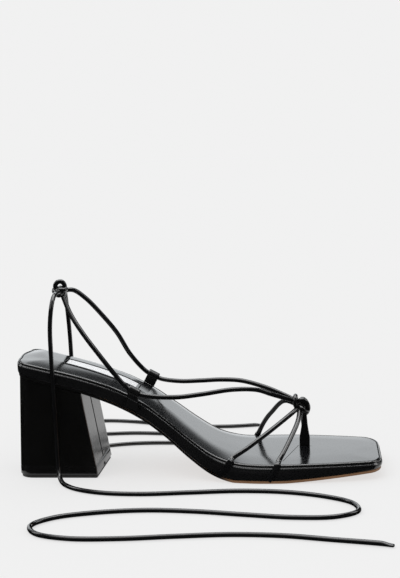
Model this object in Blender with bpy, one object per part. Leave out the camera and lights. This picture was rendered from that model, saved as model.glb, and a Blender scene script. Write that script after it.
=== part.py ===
"""Lace up heeled sandal, right foot, in metres with +Z up.

The toe points along +X and the inner side of the foot is +Y. The origin is on the floor, at the
middle of the heel's wearing face. Stations are shares of the sole's length, from the back of the
seat to the toe.
"""

import math
from collections import namedtuple

import bmesh
import bpy
import numpy as np
from mathutils import Matrix, Vector

# Sole, from the last
SOLE_LENGTH = 0.2392
BALL_WIDTH = 0.0824
HEEL_RISE = 0.0666
FOREFOOT_HEIGHT = 0.0121
TOE_SPRING = 0.0052
SPRING_START = 0.735
SPRING_CURVE = 1.2
EDGE_HEIGHT = 0.0108

# Layers of the sole
OUTSOLE_THICKNESS = 0.0018
OUTSOLE_INSET = 0.0006
RIM_WIDTH = 0.0014
RIM_ROUND = 0.0007
WALL_BULGE = 0.0002
INSOLE_THICKNESS = 0.0016
INSOLE_ROLL = 0.0009
PAD_CROWN = 0.0017
PAD_REACH = 0.0120
GAP = 0.0003

# Corners of the sole's outline: how far each reaches along and across
SEAT_CORNER = (0.0080, 0.0120)
TOE_CORNER_LATERAL = (0.0075, 0.0105)
TOE_CORNER_MEDIAL = (0.0110, 0.0150)

# Heel
HEEL_WIDTH = 0.0526
HEEL_BASE_LENGTH = 0.0543
HEEL_TOP_LENGTH = 0.0400
HEEL_OVERHANG = 0.0013
HEEL_TOP_SETBACK = 0.0010
HEEL_CORNER = 0.0090
HEEL_EDGE = 0.0010
CAP_HEIGHT = 0.0075
TOP_PIECE_HEIGHT = 0.0017
TOP_PIECE_INSET = 0.0008
NOTCH_WIDTH = 0.0050
NOTCH_HEIGHT = 0.0022
NOTCH_DEPTH = 0.0025

# Straps and laces
CORD = 0.0032
CORD_SIDES = 8
CORD_STEP = 0.0048
FLAT_WIDTH = 0.0046
FLAT_THICKNESS = 0.0014
POST_STATION = 0.789
POST_SHARE = 0.27
POST_BASE_WIDTH = 0.0070
POST_TOP_AHEAD = 0.0030
POST_THICKNESS = 0.0022
SLOT_CLEARANCE = 0.0003
TOE_KNOT_RISE = 0.0278
TOE_KNOT_BACK = 0.0026
LACE_ABOVE = 0.80
ANKLE_KNOT_STATION = 0.116
ANKLE_KNOT_RISE = 0.0500
ANKLE_KNOT_SIDE = -0.0030

# How wide the post is at shares of its height, as shares of its base width
POST_TAPER = ((0.0, 1.0), (0.22, 1.0), (0.36, 0.80), (0.55, 0.58), (0.80, 0.42), (1.0, 0.42))

# Side loops
LOOP_WIDTH = 0.0078
LOOP_LEATHER = 0.0010
LOOP_LEAN = math.radians(28)
LOOP_OUT = 0.0017
LOOP_STATION = {"lateral": 0.331, "medial": 0.350}
LOOP_RISE = {"lateral": 0.0052, "medial": 0.0074}
TAIL_LEAN = {"lateral": math.radians(9), "medial": math.radians(28)}
TAIL_SHARE = 0.68

# Ties that lie down from the ankle
TIE = 0.0030
TIE_POINTS = 100
FLOOR_GAP = 0.0001

# Colours, linear
BLACK_LEATHER = (0.012, 0.012, 0.013, 1)
BLACK_SOCK = (0.030, 0.031, 0.034, 1)
BLACK_CAP = (0.018, 0.018, 0.020, 1)
TAN_SOLE = (0.33, 0.17, 0.085, 1)
BROWN_RUBBER = (0.030, 0.020, 0.016, 1)

LATERAL = -1
MEDIAL = 1
COLUMNS = 8

SEAT_BACK = HEEL_OVERHANG - HEEL_BASE_LENGTH / 2

# rise is a share of HEEL_RISE, lateral and medial are half widths as shares of BALL_WIDTH, edge is the
# sole's whole height at its side as a share of EDGE_HEIGHT, and pad is a share of PAD_CROWN.
Section = namedtuple("Section", "station rise lateral medial edge pad")
SECTIONS = (
    Section(0.000, 1.000, 0.347, 0.328, 0.89, 0.85),
    Section(0.050, 0.954, 0.346, 0.330, 0.90, 1.00),
    Section(0.101, 0.907, 0.337, 0.333, 0.92, 1.00),
    Section(0.164, 0.847, 0.326, 0.333, 0.94, 1.00),
    Section(0.227, 0.776, 0.316, 0.331, 1.00, 1.00),
    Section(0.289, 0.691, 0.312, 0.331, 1.07, 0.95),
    Section(0.352, 0.572, 0.320, 0.335, 1.13, 0.85),
    Section(0.415, 0.414, 0.343, 0.351, 1.16, 0.75),
    Section(0.477, 0.242, 0.376, 0.388, 1.27, 0.65),
    Section(0.540, 0.092, 0.418, 0.437, 1.28, 0.55),
    Section(0.603, 0.019, 0.455, 0.482, 1.25, 0.40),
    Section(0.666, 0.002, 0.476, 0.512, 1.16, 0.25),
    Section(0.728, 0.000, 0.472, 0.528, 1.16, 0.15),
    Section(0.791, 0.000, 0.454, 0.522, 1.16, 0.12),
    Section(0.854, 0.000, 0.428, 0.500, 1.16, 0.12),
    Section(0.916, 0.000, 0.394, 0.470, 1.16, 0.12),
    Section(0.967, 0.000, 0.360, 0.437, 1.16, 0.12),
    Section(1.000, 0.000, 0.335, 0.410, 1.16, 0.12),
)

# A strap between two places: along is a share of the straight line between them, lift and side are
# how far it stands off that line, as shares of the line's length.
Bend = namedtuple("Bend", "along lift side")
VAMP_BENDS = {
    "lateral_back": (Bend(0.190, 0.010, 0.030), Bend(0.540, 0.006, 0.034), Bend(0.820, 0.000, 0.018)),
    "lateral_front": (Bend(0.280, 0.000, 0.046), Bend(0.620, 0.000, 0.034), Bend(0.860, 0.004, 0.018)),
    "medial_back": (Bend(0.123, 0.150, 0.098), Bend(0.504, 0.131, 0.068), Bend(0.779, 0.080, 0.027)),
    "medial_front": (Bend(0.280, 0.020, 0.000), Bend(0.550, 0.034, 0.000), Bend(0.800, 0.028, 0.000)),
}
LACE_BENDS = {
    "lateral": (
        Bend(0.181, 0.038, -0.024),
        Bend(0.280, 0.062, -0.017),
        Bend(0.443, 0.057, -0.009),
        Bend(0.634, 0.021, -0.002),
        Bend(0.800, -0.003, 0.006),
    ),
    "medial": (
        Bend(0.112, 0.033, 0.002),
        Bend(0.243, 0.065, 0.008),
        Bend(0.413, 0.084, 0.012),
        Bend(0.556, 0.068, 0.011),
        Bend(0.700, 0.038, 0.014),
        Bend(0.850, 0.009, 0.014),
    ),
}
HEEL_BENDS = {
    "lateral": (
        Bend(0.140, 0.000, 0.034),
        Bend(0.356, -0.006, 0.053),
        Bend(0.585, -0.015, 0.059),
        Bend(0.782, -0.018, 0.044),
    ),
    "medial": (
        Bend(0.206, 0.013, -0.002),
        Bend(0.413, 0.066, -0.005),
        Bend(0.621, 0.089, -0.005),
        Bend(0.814, 0.094, 0.001),
        Bend(0.937, 0.070, 0.006),
    ),
}

# Vamp straps: where each crosses the sole's top edge, on which side, and how far back it slants on
# the side wall
VampStrap = namedtuple("VampStrap", "name station side slant")
VAMP_STRAPS = (
    VampStrap("lateral_back", 0.596, LATERAL, 0.0088),
    VampStrap("lateral_front", 0.721, LATERAL, 0.0066),
    VampStrap("medial_back", 0.652, MEDIAL, 0.0060),
    VampStrap("medial_front", 0.787, MEDIAL, 0.0020),
)

# Turns of cord round each knot's core, in cord diameters from the knot's middle: along the foot,
# across it and up
TOE_KNOT_CORE = (1.25, 1.30, 1.50)
TOE_KNOT_TURNS = (
    ((-0.6, -0.4, 0.7), (0.2, -0.8, 1.5), (1.25, -0.6, 1.0), (1.7, -0.2, -0.3), (1.2, 0.1, -1.5),
     (0.4, 0.1, -1.0)),
    ((-0.3, 0.5, 0.7), (0.5, 0.9, 1.35), (1.4, 0.85, 0.5), (1.4, 0.6, -0.9), (0.5, 0.3, -1.0)),
    ((-0.2, -0.7, 0.2), (0.5, -1.5, -0.3), (1.2, -0.9, -0.9), (1.5, 0.2, -1.1), (0.3, 0.6, -0.7)),
    ((-0.6, -0.6, -0.4), (-1.0, -1.3, 0.7), (-1.0, -0.8, 1.8), (-0.95, 0.0, 2.2), (-0.9, 0.8, 1.8),
     (-0.9, 1.35, 0.7), (-0.6, 0.7, -0.4)),
)
ANKLE_KNOT_CORE = (1.15, 1.15, 1.20)
ANKLE_KNOT_TURNS = (
    ((0.4, -0.3, -0.5), (-0.3, -1.3, -0.7), (-1.2, -0.9, 0.0), (-1.3, 0.2, 0.5), (-0.4, 0.5, 0.4)),
    ((-0.5, -0.3, 0.3), (-1.0, -0.8, 1.2), (-0.5, -0.7, 2.0), (0.4, -0.4, 2.0), (0.9, -0.3, 1.1),
     (0.4, -0.1, 0.2)),
    ((0.5, 0.4, 0.2), (1.2, -0.4, 0.5), (0.8, -1.3, 0.4), (-0.2, -1.4, 0.4), (-0.9, -0.9, -0.5),
     (-0.3, -0.2, -0.6)),
    ((0.00, -0.5, 0.0), (-0.10, -1.2, 0.02), (-0.15, -1.95, 0.05)),
    ((0.00, 0.5, 0.0), (0.05, 1.2, 0.0), (0.10, 1.95, 0.03)),
)

# The lateral tie leaves the knot, falls over the seat's edge and lies on the floor beside the sole.
TIE_LATERAL_ROUTE = (
    (0.0014, -0.0096, 0.1218), (0.0008, -0.0142, 0.1221), (0.0002, -0.0196, 0.1197),
    (-0.0003, -0.0248, 0.1130), (-0.0007, -0.0284, 0.1011), (-0.0004, -0.0299, 0.0859),
    (-0.0001, -0.0302, 0.0707), (0.0004, -0.0304, 0.0505), (0.0009, -0.0307, 0.0303),
    (0.0015, -0.0322, 0.0141), (0.0036, -0.0372, 0.0046), (0.0078, -0.0448, 0.0018),
    (0.0180, -0.0558, 0.0016), (0.0360, -0.0640, 0.0016), (0.0620, -0.0664, 0.0016),
    (0.0920, -0.0628, 0.0016), (0.1220, -0.0592, 0.0016), (0.1510, -0.0612, 0.0016),
    (0.1760, -0.0700, 0.0016), (0.1925, -0.0830, 0.0016), (0.1950, -0.0985, 0.0016),
    (0.1820, -0.1090, 0.0016), (0.1580, -0.1108, 0.0016), (0.1290, -0.1062, 0.0016),
    (0.0990, -0.1006, 0.0016), (0.0690, -0.0988, 0.0016), (0.0400, -0.1040, 0.0016),
    (0.0170, -0.1140, 0.0016), (0.0070, -0.1280, 0.0016), (0.0130, -0.1420, 0.0016),
    (0.0330, -0.1500, 0.0016), (0.0620, -0.1496, 0.0016), (0.0930, -0.1450, 0.0016),
    (0.1240, -0.1414, 0.0016), (0.1530, -0.1428, 0.0016), (0.1800, -0.1486, 0.0016),
    (0.2010, -0.1530, 0.0016), (0.2118, -0.1556, 0.0016),
)
# The medial tie falls on the other side and lies along the inner side of the sole.
TIE_MEDIAL_ROUTE = (
    (0.0022, 0.0036, 0.1217), (0.0016, 0.0086, 0.1221), (0.0006, 0.0148, 0.1203),
    (-0.0004, 0.0212, 0.1148), (-0.0006, 0.0262, 0.1027), (-0.0003, 0.0286, 0.0869),
    (0.0000, 0.0292, 0.0707), (0.0006, 0.0296, 0.0505), (0.0012, 0.0301, 0.0303),
    (0.0022, 0.0318, 0.0141), (0.0046, 0.0366, 0.0048), (0.0092, 0.0436, 0.0018),
    (0.0200, 0.0522, 0.0016), (0.0380, 0.0586, 0.0016), (0.0640, 0.0604, 0.0016),
    (0.0940, 0.0562, 0.0016), (0.1240, 0.0526, 0.0016), (0.1530, 0.0524, 0.0016),
    (0.1760, 0.0512, 0.0016), (0.1900, 0.0522, 0.0016), (0.1984, 0.0580, 0.0016),
    (0.1980, 0.0664, 0.0016), (0.1890, 0.0712, 0.0016), (0.1740, 0.0706, 0.0016),
    (0.1490, 0.0682, 0.0016), (0.1200, 0.0696, 0.0016), (0.0900, 0.0772, 0.0016),
    (0.0620, 0.0866, 0.0016), (0.0340, 0.0900, 0.0016), (0.0080, 0.0872, 0.0016),
    (-0.0120, 0.0888, 0.0016), (-0.0230, 0.0990, 0.0016), (-0.0238, 0.1130, 0.0016),
    (-0.0140, 0.1250, 0.0016), (0.0040, 0.1304, 0.0016), (0.0260, 0.1272, 0.0016),
    (0.0520, 0.1180, 0.0016), (0.0790, 0.1112, 0.0016), (0.1030, 0.1106, 0.0016),
    (0.1230, 0.1150, 0.0016), (0.1290, 0.1172, 0.0016),
)


def start_clean():
    for old in list(bpy.data.objects):
        bpy.data.objects.remove(old, do_unlink=True)


def material(name, colour, roughness, metallic=0.0):
    made = bpy.data.materials.new(name)
    made.use_nodes = True
    shader = made.node_tree.nodes["Principled BSDF"]
    shader.inputs["Base Color"].default_value = colour
    shader.inputs["Roughness"].default_value = roughness
    shader.inputs["Metallic"].default_value = metallic
    made.diffuse_color = colour
    return made


def new_object(name, vertices, faces, finish=None, sharp=math.radians(40)):
    mesh = bpy.data.meshes.new(name)
    mesh.from_pydata([tuple(v) for v in vertices], [], faces)
    tidy = bmesh.new()
    tidy.from_mesh(mesh)
    bmesh.ops.recalc_face_normals(tidy, faces=tidy.faces)
    tidy.to_mesh(mesh)
    tidy.free()
    mesh.shade_smooth()
    mesh.set_sharp_from_angle(angle=sharp)
    made = bpy.data.objects.new(name, mesh)
    bpy.context.scene.collection.objects.link(made)
    if finish:
        mesh.materials.append(finish)
    return made


def helper(made):
    """A solid that only serves a Boolean isn't shown."""
    made.hide_render = True
    made.display_type = "WIRE"
    return made


def boolean(target, operation, tool):
    step = target.modifiers.new(operation.lower(), "BOOLEAN")
    step.operation = operation
    step.object = tool
    step.solver = "EXACT"


def column(name, station):
    """Reads one column of the section table at any station, on a smooth curve."""
    stations = [row.station for row in SECTIONS]
    values = [getattr(row, name) for row in SECTIONS]
    station = min(max(station, 0.0), 1.0)
    k = min(max(int(np.searchsorted(stations, station)) - 1, 0), len(SECTIONS) - 2)
    slopes = np.gradient(values, stations)
    width = stations[k + 1] - stations[k]
    t = (station - stations[k]) / width
    keep = (2 * t**3 - 3 * t**2 + 1) * values[k] + (3 * t**2 - 2 * t**3) * values[k + 1]
    turn = (t**3 - 2 * t**2 + t) * slopes[k] + (t**3 - t**2) * slopes[k + 1]
    return keep + width * turn


def station_x(station):
    return SEAT_BACK + station * SOLE_LENGTH


def top_height(station):
    return FOREFOOT_HEIGHT + HEEL_RISE * column("rise", station)


def under_height(station):
    """Underside of the outsole: flat on the floor under the ball, and sprung at the toe."""
    level = max(0.0, top_height(station) - EDGE_HEIGHT * column("edge", station))
    ahead = max(0.0, (station - SPRING_START) / (1 - SPRING_START))
    return level + TOE_SPRING * ahead**SPRING_CURVE


def corner_cut(distance, corner):
    """How far a rounded corner draws the side in, at a distance from the sole's end."""
    along, across = corner
    if distance >= along:
        return 0.0
    return across * (1 - math.sqrt(max(0.0, 1 - (1 - distance / along) ** 2)))


def half_width(station, side):
    name = "lateral" if side == LATERAL else "medial"
    toe_corner = TOE_CORNER_LATERAL if side == LATERAL else TOE_CORNER_MEDIAL
    width = BALL_WIDTH * column(name, station)
    width -= corner_cut(station * SOLE_LENGTH, SEAT_CORNER)
    return width - corner_cut((1 - station) * SOLE_LENGTH, toe_corner)


def sole_stations():
    """Stations of the sole's sections, closer together round the corners of its outline."""
    def arc(reach):
        return [reach * (1 - math.cos(math.radians(a))) / SOLE_LENGTH for a in (0, 17, 34, 51, 68, 90)]

    back = arc(SEAT_CORNER[0])
    front = [1 - s for s in reversed(arc(TOE_CORNER_MEDIAL[0]))]
    between = np.linspace(back[-1], front[0], 20)[1:-1]
    return back + list(between) + front


STATIONS = sole_stations()


def outline(inset=0.0):
    """The sole's outline drawn in by an inset, as (x, y, station), lateral side first and then back."""
    points = []
    for s in STATIONS:
        points.append((station_x(s), LATERAL * half_width(s, LATERAL), s))
    shares = [k / COLUMNS for k in range(1, COLUMNS)]
    toe = [LATERAL * half_width(1.0, LATERAL), half_width(1.0, MEDIAL)]
    seat = [LATERAL * half_width(0.0, LATERAL), half_width(0.0, MEDIAL)]
    points += [(station_x(1.0), toe[0] + (toe[1] - toe[0]) * f, 1.0) for f in shares]
    points += [(station_x(s), half_width(s, MEDIAL), s) for s in reversed(STATIONS)]
    points += [(station_x(0.0), seat[1] + (seat[0] - seat[1]) * f, 0.0) for f in shares]
    moved = []
    for k, (x, y, s) in enumerate(points):
        before = points[k - 1]
        after = points[(k + 1) % len(points)]
        ahead = Vector((after[0] - before[0], after[1] - before[1])).normalized()
        x -= inset * ahead.y
        y += inset * ahead.x
        moved.append((x, y, (x - SEAT_BACK) / SOLE_LENGTH))
    return moved


def ring(inset, height):
    """One closed ring round the sole, with its height read at each point's own station."""
    return [Vector((x, y, height(s))) for x, y, s in outline(inset)]


def grid_rows(closed_ring):
    """Pairs a ring's lateral points with its medial ones, with the straight ends between them."""
    n = len(STATIONS)
    lateral = list(range(n))
    toe = list(range(n, n + COLUMNS - 1))
    medial = list(range(n + COLUMNS - 1, 2 * n + COLUMNS - 1))[::-1]
    seat = list(range(2 * n + COLUMNS - 1, 2 * n + 2 * COLUMNS - 2))[::-1]
    assert len(closed_ring) == 2 * n + 2 * COLUMNS - 2
    return lateral, toe, medial, seat


def cap_faces(closed_ring, start):
    """Flat strips from side to side close a ring."""
    lateral, toe, medial, seat = grid_rows(closed_ring)
    last = len(lateral) - 1
    faces = [[lateral[0], *seat, medial[0], medial[1], lateral[1]]]
    faces += [[lateral[k], medial[k], medial[k + 1], lateral[k + 1]] for k in range(1, last - 1)]
    faces.append([lateral[last - 1], medial[last - 1], medial[last], *toe[::-1], lateral[last]])
    return [[start + i for i in face] for face in faces]


def padded_faces(closed_ring, start, vertices, height):
    """A grid across a ring whose inner points take their height from a function of (x, y)."""
    lateral, toe, medial, seat = grid_rows(closed_ring)
    rows = []
    last = len(lateral) - 1
    for k in range(last + 1):
        a, b = closed_ring[lateral[k]], closed_ring[medial[k]]
        if k == 0:
            inner = [start + i for i in seat]
        elif k == last:
            inner = [start + i for i in toe]
        else:
            inner = []
            for c in range(1, COLUMNS):
                p = a.lerp(b, c / COLUMNS)
                inner.append(len(vertices))
                vertices.append(Vector((p.x, p.y, height(p.x, p.y))))
        rows.append([start + lateral[k], *inner, start + medial[k]])
    return [
        [rows[k][c], rows[k][c + 1], rows[k + 1][c + 1], rows[k + 1][c]]
        for k in range(last)
        for c in range(COLUMNS)
    ]


def stack_of_rings(rings):
    vertices = [p for r in rings for p in r]
    n = len(rings[0])
    faces = []
    for level in range(len(rings) - 1):
        for k in range(n):
            a = level * n + k
            b = level * n + (k + 1) % n
            faces.append([a, b, b + n, a + n])
    return vertices, faces


def recess_height(station):
    """Floor of the midsole's recess, which the insole lies in."""
    return top_height(station) - INSOLE_THICKNESS - GAP


def build_outsole():
    top = lambda s: under_height(s) + OUTSOLE_THICKNESS
    soft = OUTSOLE_THICKNESS * 0.3
    rings = [
        ring(OUTSOLE_INSET + soft, under_height),
        ring(OUTSOLE_INSET, lambda s: under_height(s) + soft),
        ring(OUTSOLE_INSET, top),
    ]
    vertices, faces = stack_of_rings(rings)
    faces += cap_faces(rings[0], 0)
    faces += cap_faces(rings[-1], len(vertices) - len(rings[-1]))
    return new_object("outsole", vertices, faces, material("tan_sole", TAN_SOLE, 0.45))


def build_midsole():
    base = lambda s: under_height(s) + OUTSOLE_THICKNESS + GAP
    soft = RIM_ROUND
    middle = lambda s: (base(s) + top_height(s)) / 2
    rings = [
        ring(soft, base),
        ring(0.3 * soft, lambda s: base(s) + 0.3 * soft),
        ring(0.0, lambda s: base(s) + soft),
        ring(-WALL_BULGE, middle),
        ring(0.0, lambda s: top_height(s) - soft),
        ring(0.3 * soft, lambda s: top_height(s) - 0.3 * soft),
        ring(soft, top_height),
        ring(RIM_WIDTH - 0.3 * soft, lambda s: top_height(s) - 0.1 * soft),
        ring(RIM_WIDTH, lambda s: top_height(s) - 0.6 * soft),
        ring(RIM_WIDTH, recess_height),
    ]
    vertices, faces = stack_of_rings(rings)
    faces += cap_faces(rings[0], 0)
    faces += cap_faces(rings[-1], len(vertices) - len(rings[-1]))
    return new_object("midsole", vertices, faces, material("black_wrap", BLACK_LEATHER, 0.42))


def edge_distance(x, y):
    """Distance of a place on the footbed from the sole's outline, measured straight across or along."""
    station = (x - SEAT_BACK) / SOLE_LENGTH
    across = min(y + half_width(station, LATERAL), half_width(station, MEDIAL) - y)
    along = min(station, 1 - station) * SOLE_LENGTH
    return max(0.0, min(across, along))


def footbed_height(x, y):
    """Top of the insole: level with the rim at its edge, and raised by its padding inside it."""
    station = (x - SEAT_BACK) / SOLE_LENGTH
    inside = edge_distance(x, y) - RIM_WIDTH - GAP - INSOLE_ROLL
    t = min(max(inside / PAD_REACH, 0.0), 1.0)
    return top_height(station) + PAD_CROWN * column("pad", station) * t * (2 - t)


def build_insole():
    edge = RIM_WIDTH + GAP
    bottom = lambda s: recess_height(s) + GAP
    rings = [
        ring(edge, bottom),
        ring(edge, lambda s: top_height(s) - INSOLE_ROLL),
        ring(edge + 0.3 * INSOLE_ROLL, lambda s: top_height(s) - 0.3 * INSOLE_ROLL),
        ring(edge + INSOLE_ROLL, top_height),
    ]
    vertices, faces = stack_of_rings(rings)
    faces += cap_faces(rings[0], 0)
    start = len(vertices) - len(rings[-1])
    faces += padded_faces(rings[-1], start, vertices, footbed_height)
    made = new_object("insole", vertices, faces, material("black_sock", BLACK_SOCK, 0.38))
    slot_length = POST_BASE_WIDTH + 2 * SLOT_CLEARANCE
    slot_width = POST_THICKNESS + 2 * SLOT_CLEARANCE
    foot = post_foot()
    cutter = box_between(
        "insole_slot",
        foot + Vector((-slot_length / 2, -slot_width / 2, -2 * INSOLE_THICKNESS)),
        foot + Vector((slot_length / 2, slot_width / 2, 2 * INSOLE_THICKNESS)),
    )
    boolean(made, "DIFFERENCE", helper(cutter))
    return made


def box_between(name, low, high, finish=None):
    corners = [(x, y, z) for x in (low.x, high.x) for y in (low.y, high.y) for z in (low.z, high.z)]
    faces = [[0, 1, 3, 2], [4, 6, 7, 5], [0, 4, 5, 1], [2, 3, 7, 6], [0, 2, 6, 4], [1, 5, 7, 3]]
    return new_object(name, corners, faces, finish)


def heel_back(height, top):
    """The block's back leans out a little on its way down."""
    share = height / top
    low = SEAT_BACK - HEEL_OVERHANG
    high = SEAT_BACK + HEEL_TOP_SETBACK
    return low + (high - low) * share


def heel_breast(height, top):
    share = height / top
    low = SEAT_BACK - HEEL_OVERHANG + HEEL_BASE_LENGTH
    high = SEAT_BACK + HEEL_TOP_SETBACK + HEEL_TOP_LENGTH
    return low + (high - low) * share


def heel_outline(height, inset=0.0):
    """Plan of the heel at one height: rounded back corners and crisp front ones."""
    top = under_height(0.0)
    back = heel_back(height, top) + inset
    breast = heel_breast(height, top) - inset
    half = HEEL_WIDTH / 2 - inset
    pairs = []
    for angle in (0, 18, 36, 54, 72, 90):
        a = math.radians(angle)
        pairs.append((back + HEEL_CORNER * (1 - math.cos(a)), half - HEEL_CORNER * (1 - math.sin(a))))
    start = pairs[-1][0]
    stop = breast - HEEL_EDGE
    pairs += [(start + (stop - start) * f, half) for f in (0.25, 0.5, 0.75, 1.0)]
    pairs += [(breast - 0.3 * HEEL_EDGE, half - 0.3 * HEEL_EDGE), (breast, half - HEEL_EDGE)]
    return pairs


def heel_ring(height, inset=0.0):
    pairs = heel_outline(height, inset)
    side = [Vector((x, -y, height)) for x, y in pairs]
    return side + [Vector((x, y, height)) for x, y in reversed(pairs)]


def strip_cap(count, start, flip):
    faces = []
    for k in range(count // 2 - 1):
        far = start + count - 1 - k
        faces.append([start + k, start + k + 1, far - 1, far])
    return [face[::-1] for face in faces] if flip else faces


def heel_top_ring():
    """The block's top follows the underside of the sole, a gap below it."""
    base = heel_outline(CAP_HEIGHT)
    lateral = []
    for index in range(len(base)):
        height = under_height(0.1)
        for _ in range(12):
            x, y = heel_outline(height)[index]
            height = under_height((x - SEAT_BACK) / SOLE_LENGTH) - GAP
        lateral.append(Vector((x, -y, height)))
    return lateral + [Vector((p.x, -p.y, p.z)) for p in reversed(lateral)]


def build_heel_block():
    low = heel_ring(CAP_HEIGHT + GAP)
    high = heel_top_ring()
    rings = [[a.lerp(b, f) for a, b in zip(low, high)] for f in (0.0, 0.33, 0.67, 1.0)]
    vertices, faces = stack_of_rings(rings)
    n = len(low)
    faces += strip_cap(n, 0, False) + strip_cap(n, len(vertices) - n, True)
    return new_object("heel_block", vertices, faces, material("black_heel_cover", BLACK_LEATHER, 0.35))


def build_heel_cap():
    bottom = TOP_PIECE_HEIGHT + GAP
    soft = 0.3 * HEEL_EDGE
    rings = [
        heel_ring(bottom, soft),
        heel_ring(bottom + soft),
        heel_ring(CAP_HEIGHT - soft),
        heel_ring(CAP_HEIGHT, soft),
    ]
    vertices, faces = stack_of_rings(rings)
    n = len(rings[0])
    faces += strip_cap(n, 0, False) + strip_cap(n, len(vertices) - n, True)
    made = new_object("heel_cap", vertices, faces, material("black_cap", BLACK_CAP, 0.40))
    breast = heel_breast(bottom, under_height(0.0))
    cutter = box_between(
        "cap_notch",
        Vector((breast - NOTCH_DEPTH, -NOTCH_WIDTH / 2, bottom - NOTCH_HEIGHT)),
        Vector((breast + NOTCH_DEPTH, NOTCH_WIDTH / 2, bottom + NOTCH_HEIGHT)),
    )
    boolean(made, "DIFFERENCE", helper(cutter))
    return made


def build_top_piece():
    soft = 0.3 * HEEL_EDGE
    rings = [
        heel_ring(0.0, TOP_PIECE_INSET + soft),
        heel_ring(soft, TOP_PIECE_INSET),
        heel_ring(TOP_PIECE_HEIGHT, TOP_PIECE_INSET),
    ]
    vertices, faces = stack_of_rings(rings)
    n = len(rings[0])
    faces += strip_cap(n, 0, False) + strip_cap(n, len(vertices) - n, True)
    return new_object("top_piece", vertices, faces, material("brown_rubber", BROWN_RUBBER, 0.55))


def smooth_route(points, step=None, count=None):
    """Reads equally spaced points off a smooth curve through the route's own points."""
    route = [Vector(p) for p in points]
    ends = [route[0] * 2 - route[1], *route, route[-1] * 2 - route[-2]]
    fine = []
    for k in range(1, len(ends) - 2):
        p0, p1, p2, p3 = ends[k - 1 : k + 3]
        t1 = math.sqrt((p1 - p0).length)
        t2 = t1 + math.sqrt((p2 - p1).length)
        t3 = t2 + math.sqrt((p3 - p2).length)
        for i in range(12):
            t = t1 + (t2 - t1) * i / 12
            a1 = p0 * ((t1 - t) / t1) + p1 * (t / t1)
            a2 = p1 * ((t2 - t) / (t2 - t1)) + p2 * ((t - t1) / (t2 - t1))
            a3 = p2 * ((t3 - t) / (t3 - t2)) + p3 * ((t - t2) / (t3 - t2))
            b1 = a1 * ((t2 - t) / t2) + a2 * (t / t2)
            b2 = a2 * ((t3 - t) / (t3 - t1)) + a3 * ((t - t1) / (t3 - t1))
            fine.append(b1 * ((t2 - t) / (t2 - t1)) + b2 * ((t - t1) / (t2 - t1)))
    fine.append(route[-1])
    lengths = [0.0]
    for a, b in zip(fine, fine[1:]):
        lengths.append(lengths[-1] + (b - a).length)
    count = count or max(4, round(lengths[-1] / step) + 1)
    at = np.linspace(0, lengths[-1], count)
    table = np.array([tuple(p) for p in fine])
    return [Vector([np.interp(d, lengths, table[:, axis]) for axis in range(3)]) for d in at]


def strap_between(start, stop, bends):
    """Places along a strap from start to stop, with its bends measured from the straight line."""
    line = stop - start
    ahead = line.normalized()
    side = Vector((0, 0, 1)).cross(ahead).normalized()
    lift = ahead.cross(side)
    places = [start]
    for bend in bends:
        off = lift * bend.lift + side * bend.side
        places.append(start + line * bend.along + off * line.length)
    return places + [stop]


def sweep(name, places, widths, thicknesses, away_from, sides=CORD_SIDES):
    """A cord or strap through the places: an oval whose flat side faces away from a point."""
    rings = []
    last = len(places) - 1
    for k, p in enumerate(places):
        ahead = (places[min(k + 1, last)] - places[max(k - 1, 0)]).normalized()
        out = p - away_from(p)
        out = (out - ahead * out.dot(ahead)).normalized()
        flat = ahead.cross(out)
        turn = [2 * math.pi * (i + 0.5) / sides for i in range(sides)]
        rings.append([
            p + flat * (widths[k] / 2 * math.cos(a)) + out * (thicknesses[k] / 2 * math.sin(a)) for a in turn
        ])
    vertices, faces = stack_of_rings(rings)
    faces.append(list(range(sides))[::-1])
    faces.append(list(range(len(vertices) - sides, len(vertices))))
    return new_object(name, vertices, faces)


def foot_axis(p):
    """A point inside the foot, level with the footbed, that straps bend round."""
    station = (p.x - SEAT_BACK) / SOLE_LENGTH
    return Vector((p.x, 0.0, top_height(min(max(station, 0.0), 1.0)) - EDGE_HEIGHT / 2))


def edge_place(station, side, out, up):
    """A place beside the sole's top edge."""
    return Vector((station_x(station), side * (half_width(station, side) + out), top_height(station) + up))


def post_foot():
    y = POST_SHARE * half_width(POST_STATION, MEDIAL)
    x = station_x(POST_STATION)
    return Vector((x, y, footbed_height(x, y)))


def toe_knot():
    return post_foot() + Vector((-TOE_KNOT_BACK, -TOE_KNOT_BACK, TOE_KNOT_RISE))


def lace_start():
    """The laces enter the toe knot near its top."""
    return toe_knot() + Vector((0, 0, LACE_ABOVE * CORD))


def ankle_knot():
    x = station_x(ANKLE_KNOT_STATION)
    return Vector((x, ANKLE_KNOT_SIDE, top_height(ANKLE_KNOT_STATION) + ANKLE_KNOT_RISE))


def loop_place(side_name, ahead=0.0):
    """A place on the side loop's axis, a distance ahead of its middle."""
    side = LATERAL if side_name == "lateral" else MEDIAL
    middle = edge_place(LOOP_STATION[side_name], side, LOOP_OUT, LOOP_RISE[side_name])
    return middle + Vector((math.cos(LOOP_LEAN), 0, -math.sin(LOOP_LEAN))) * ahead


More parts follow.
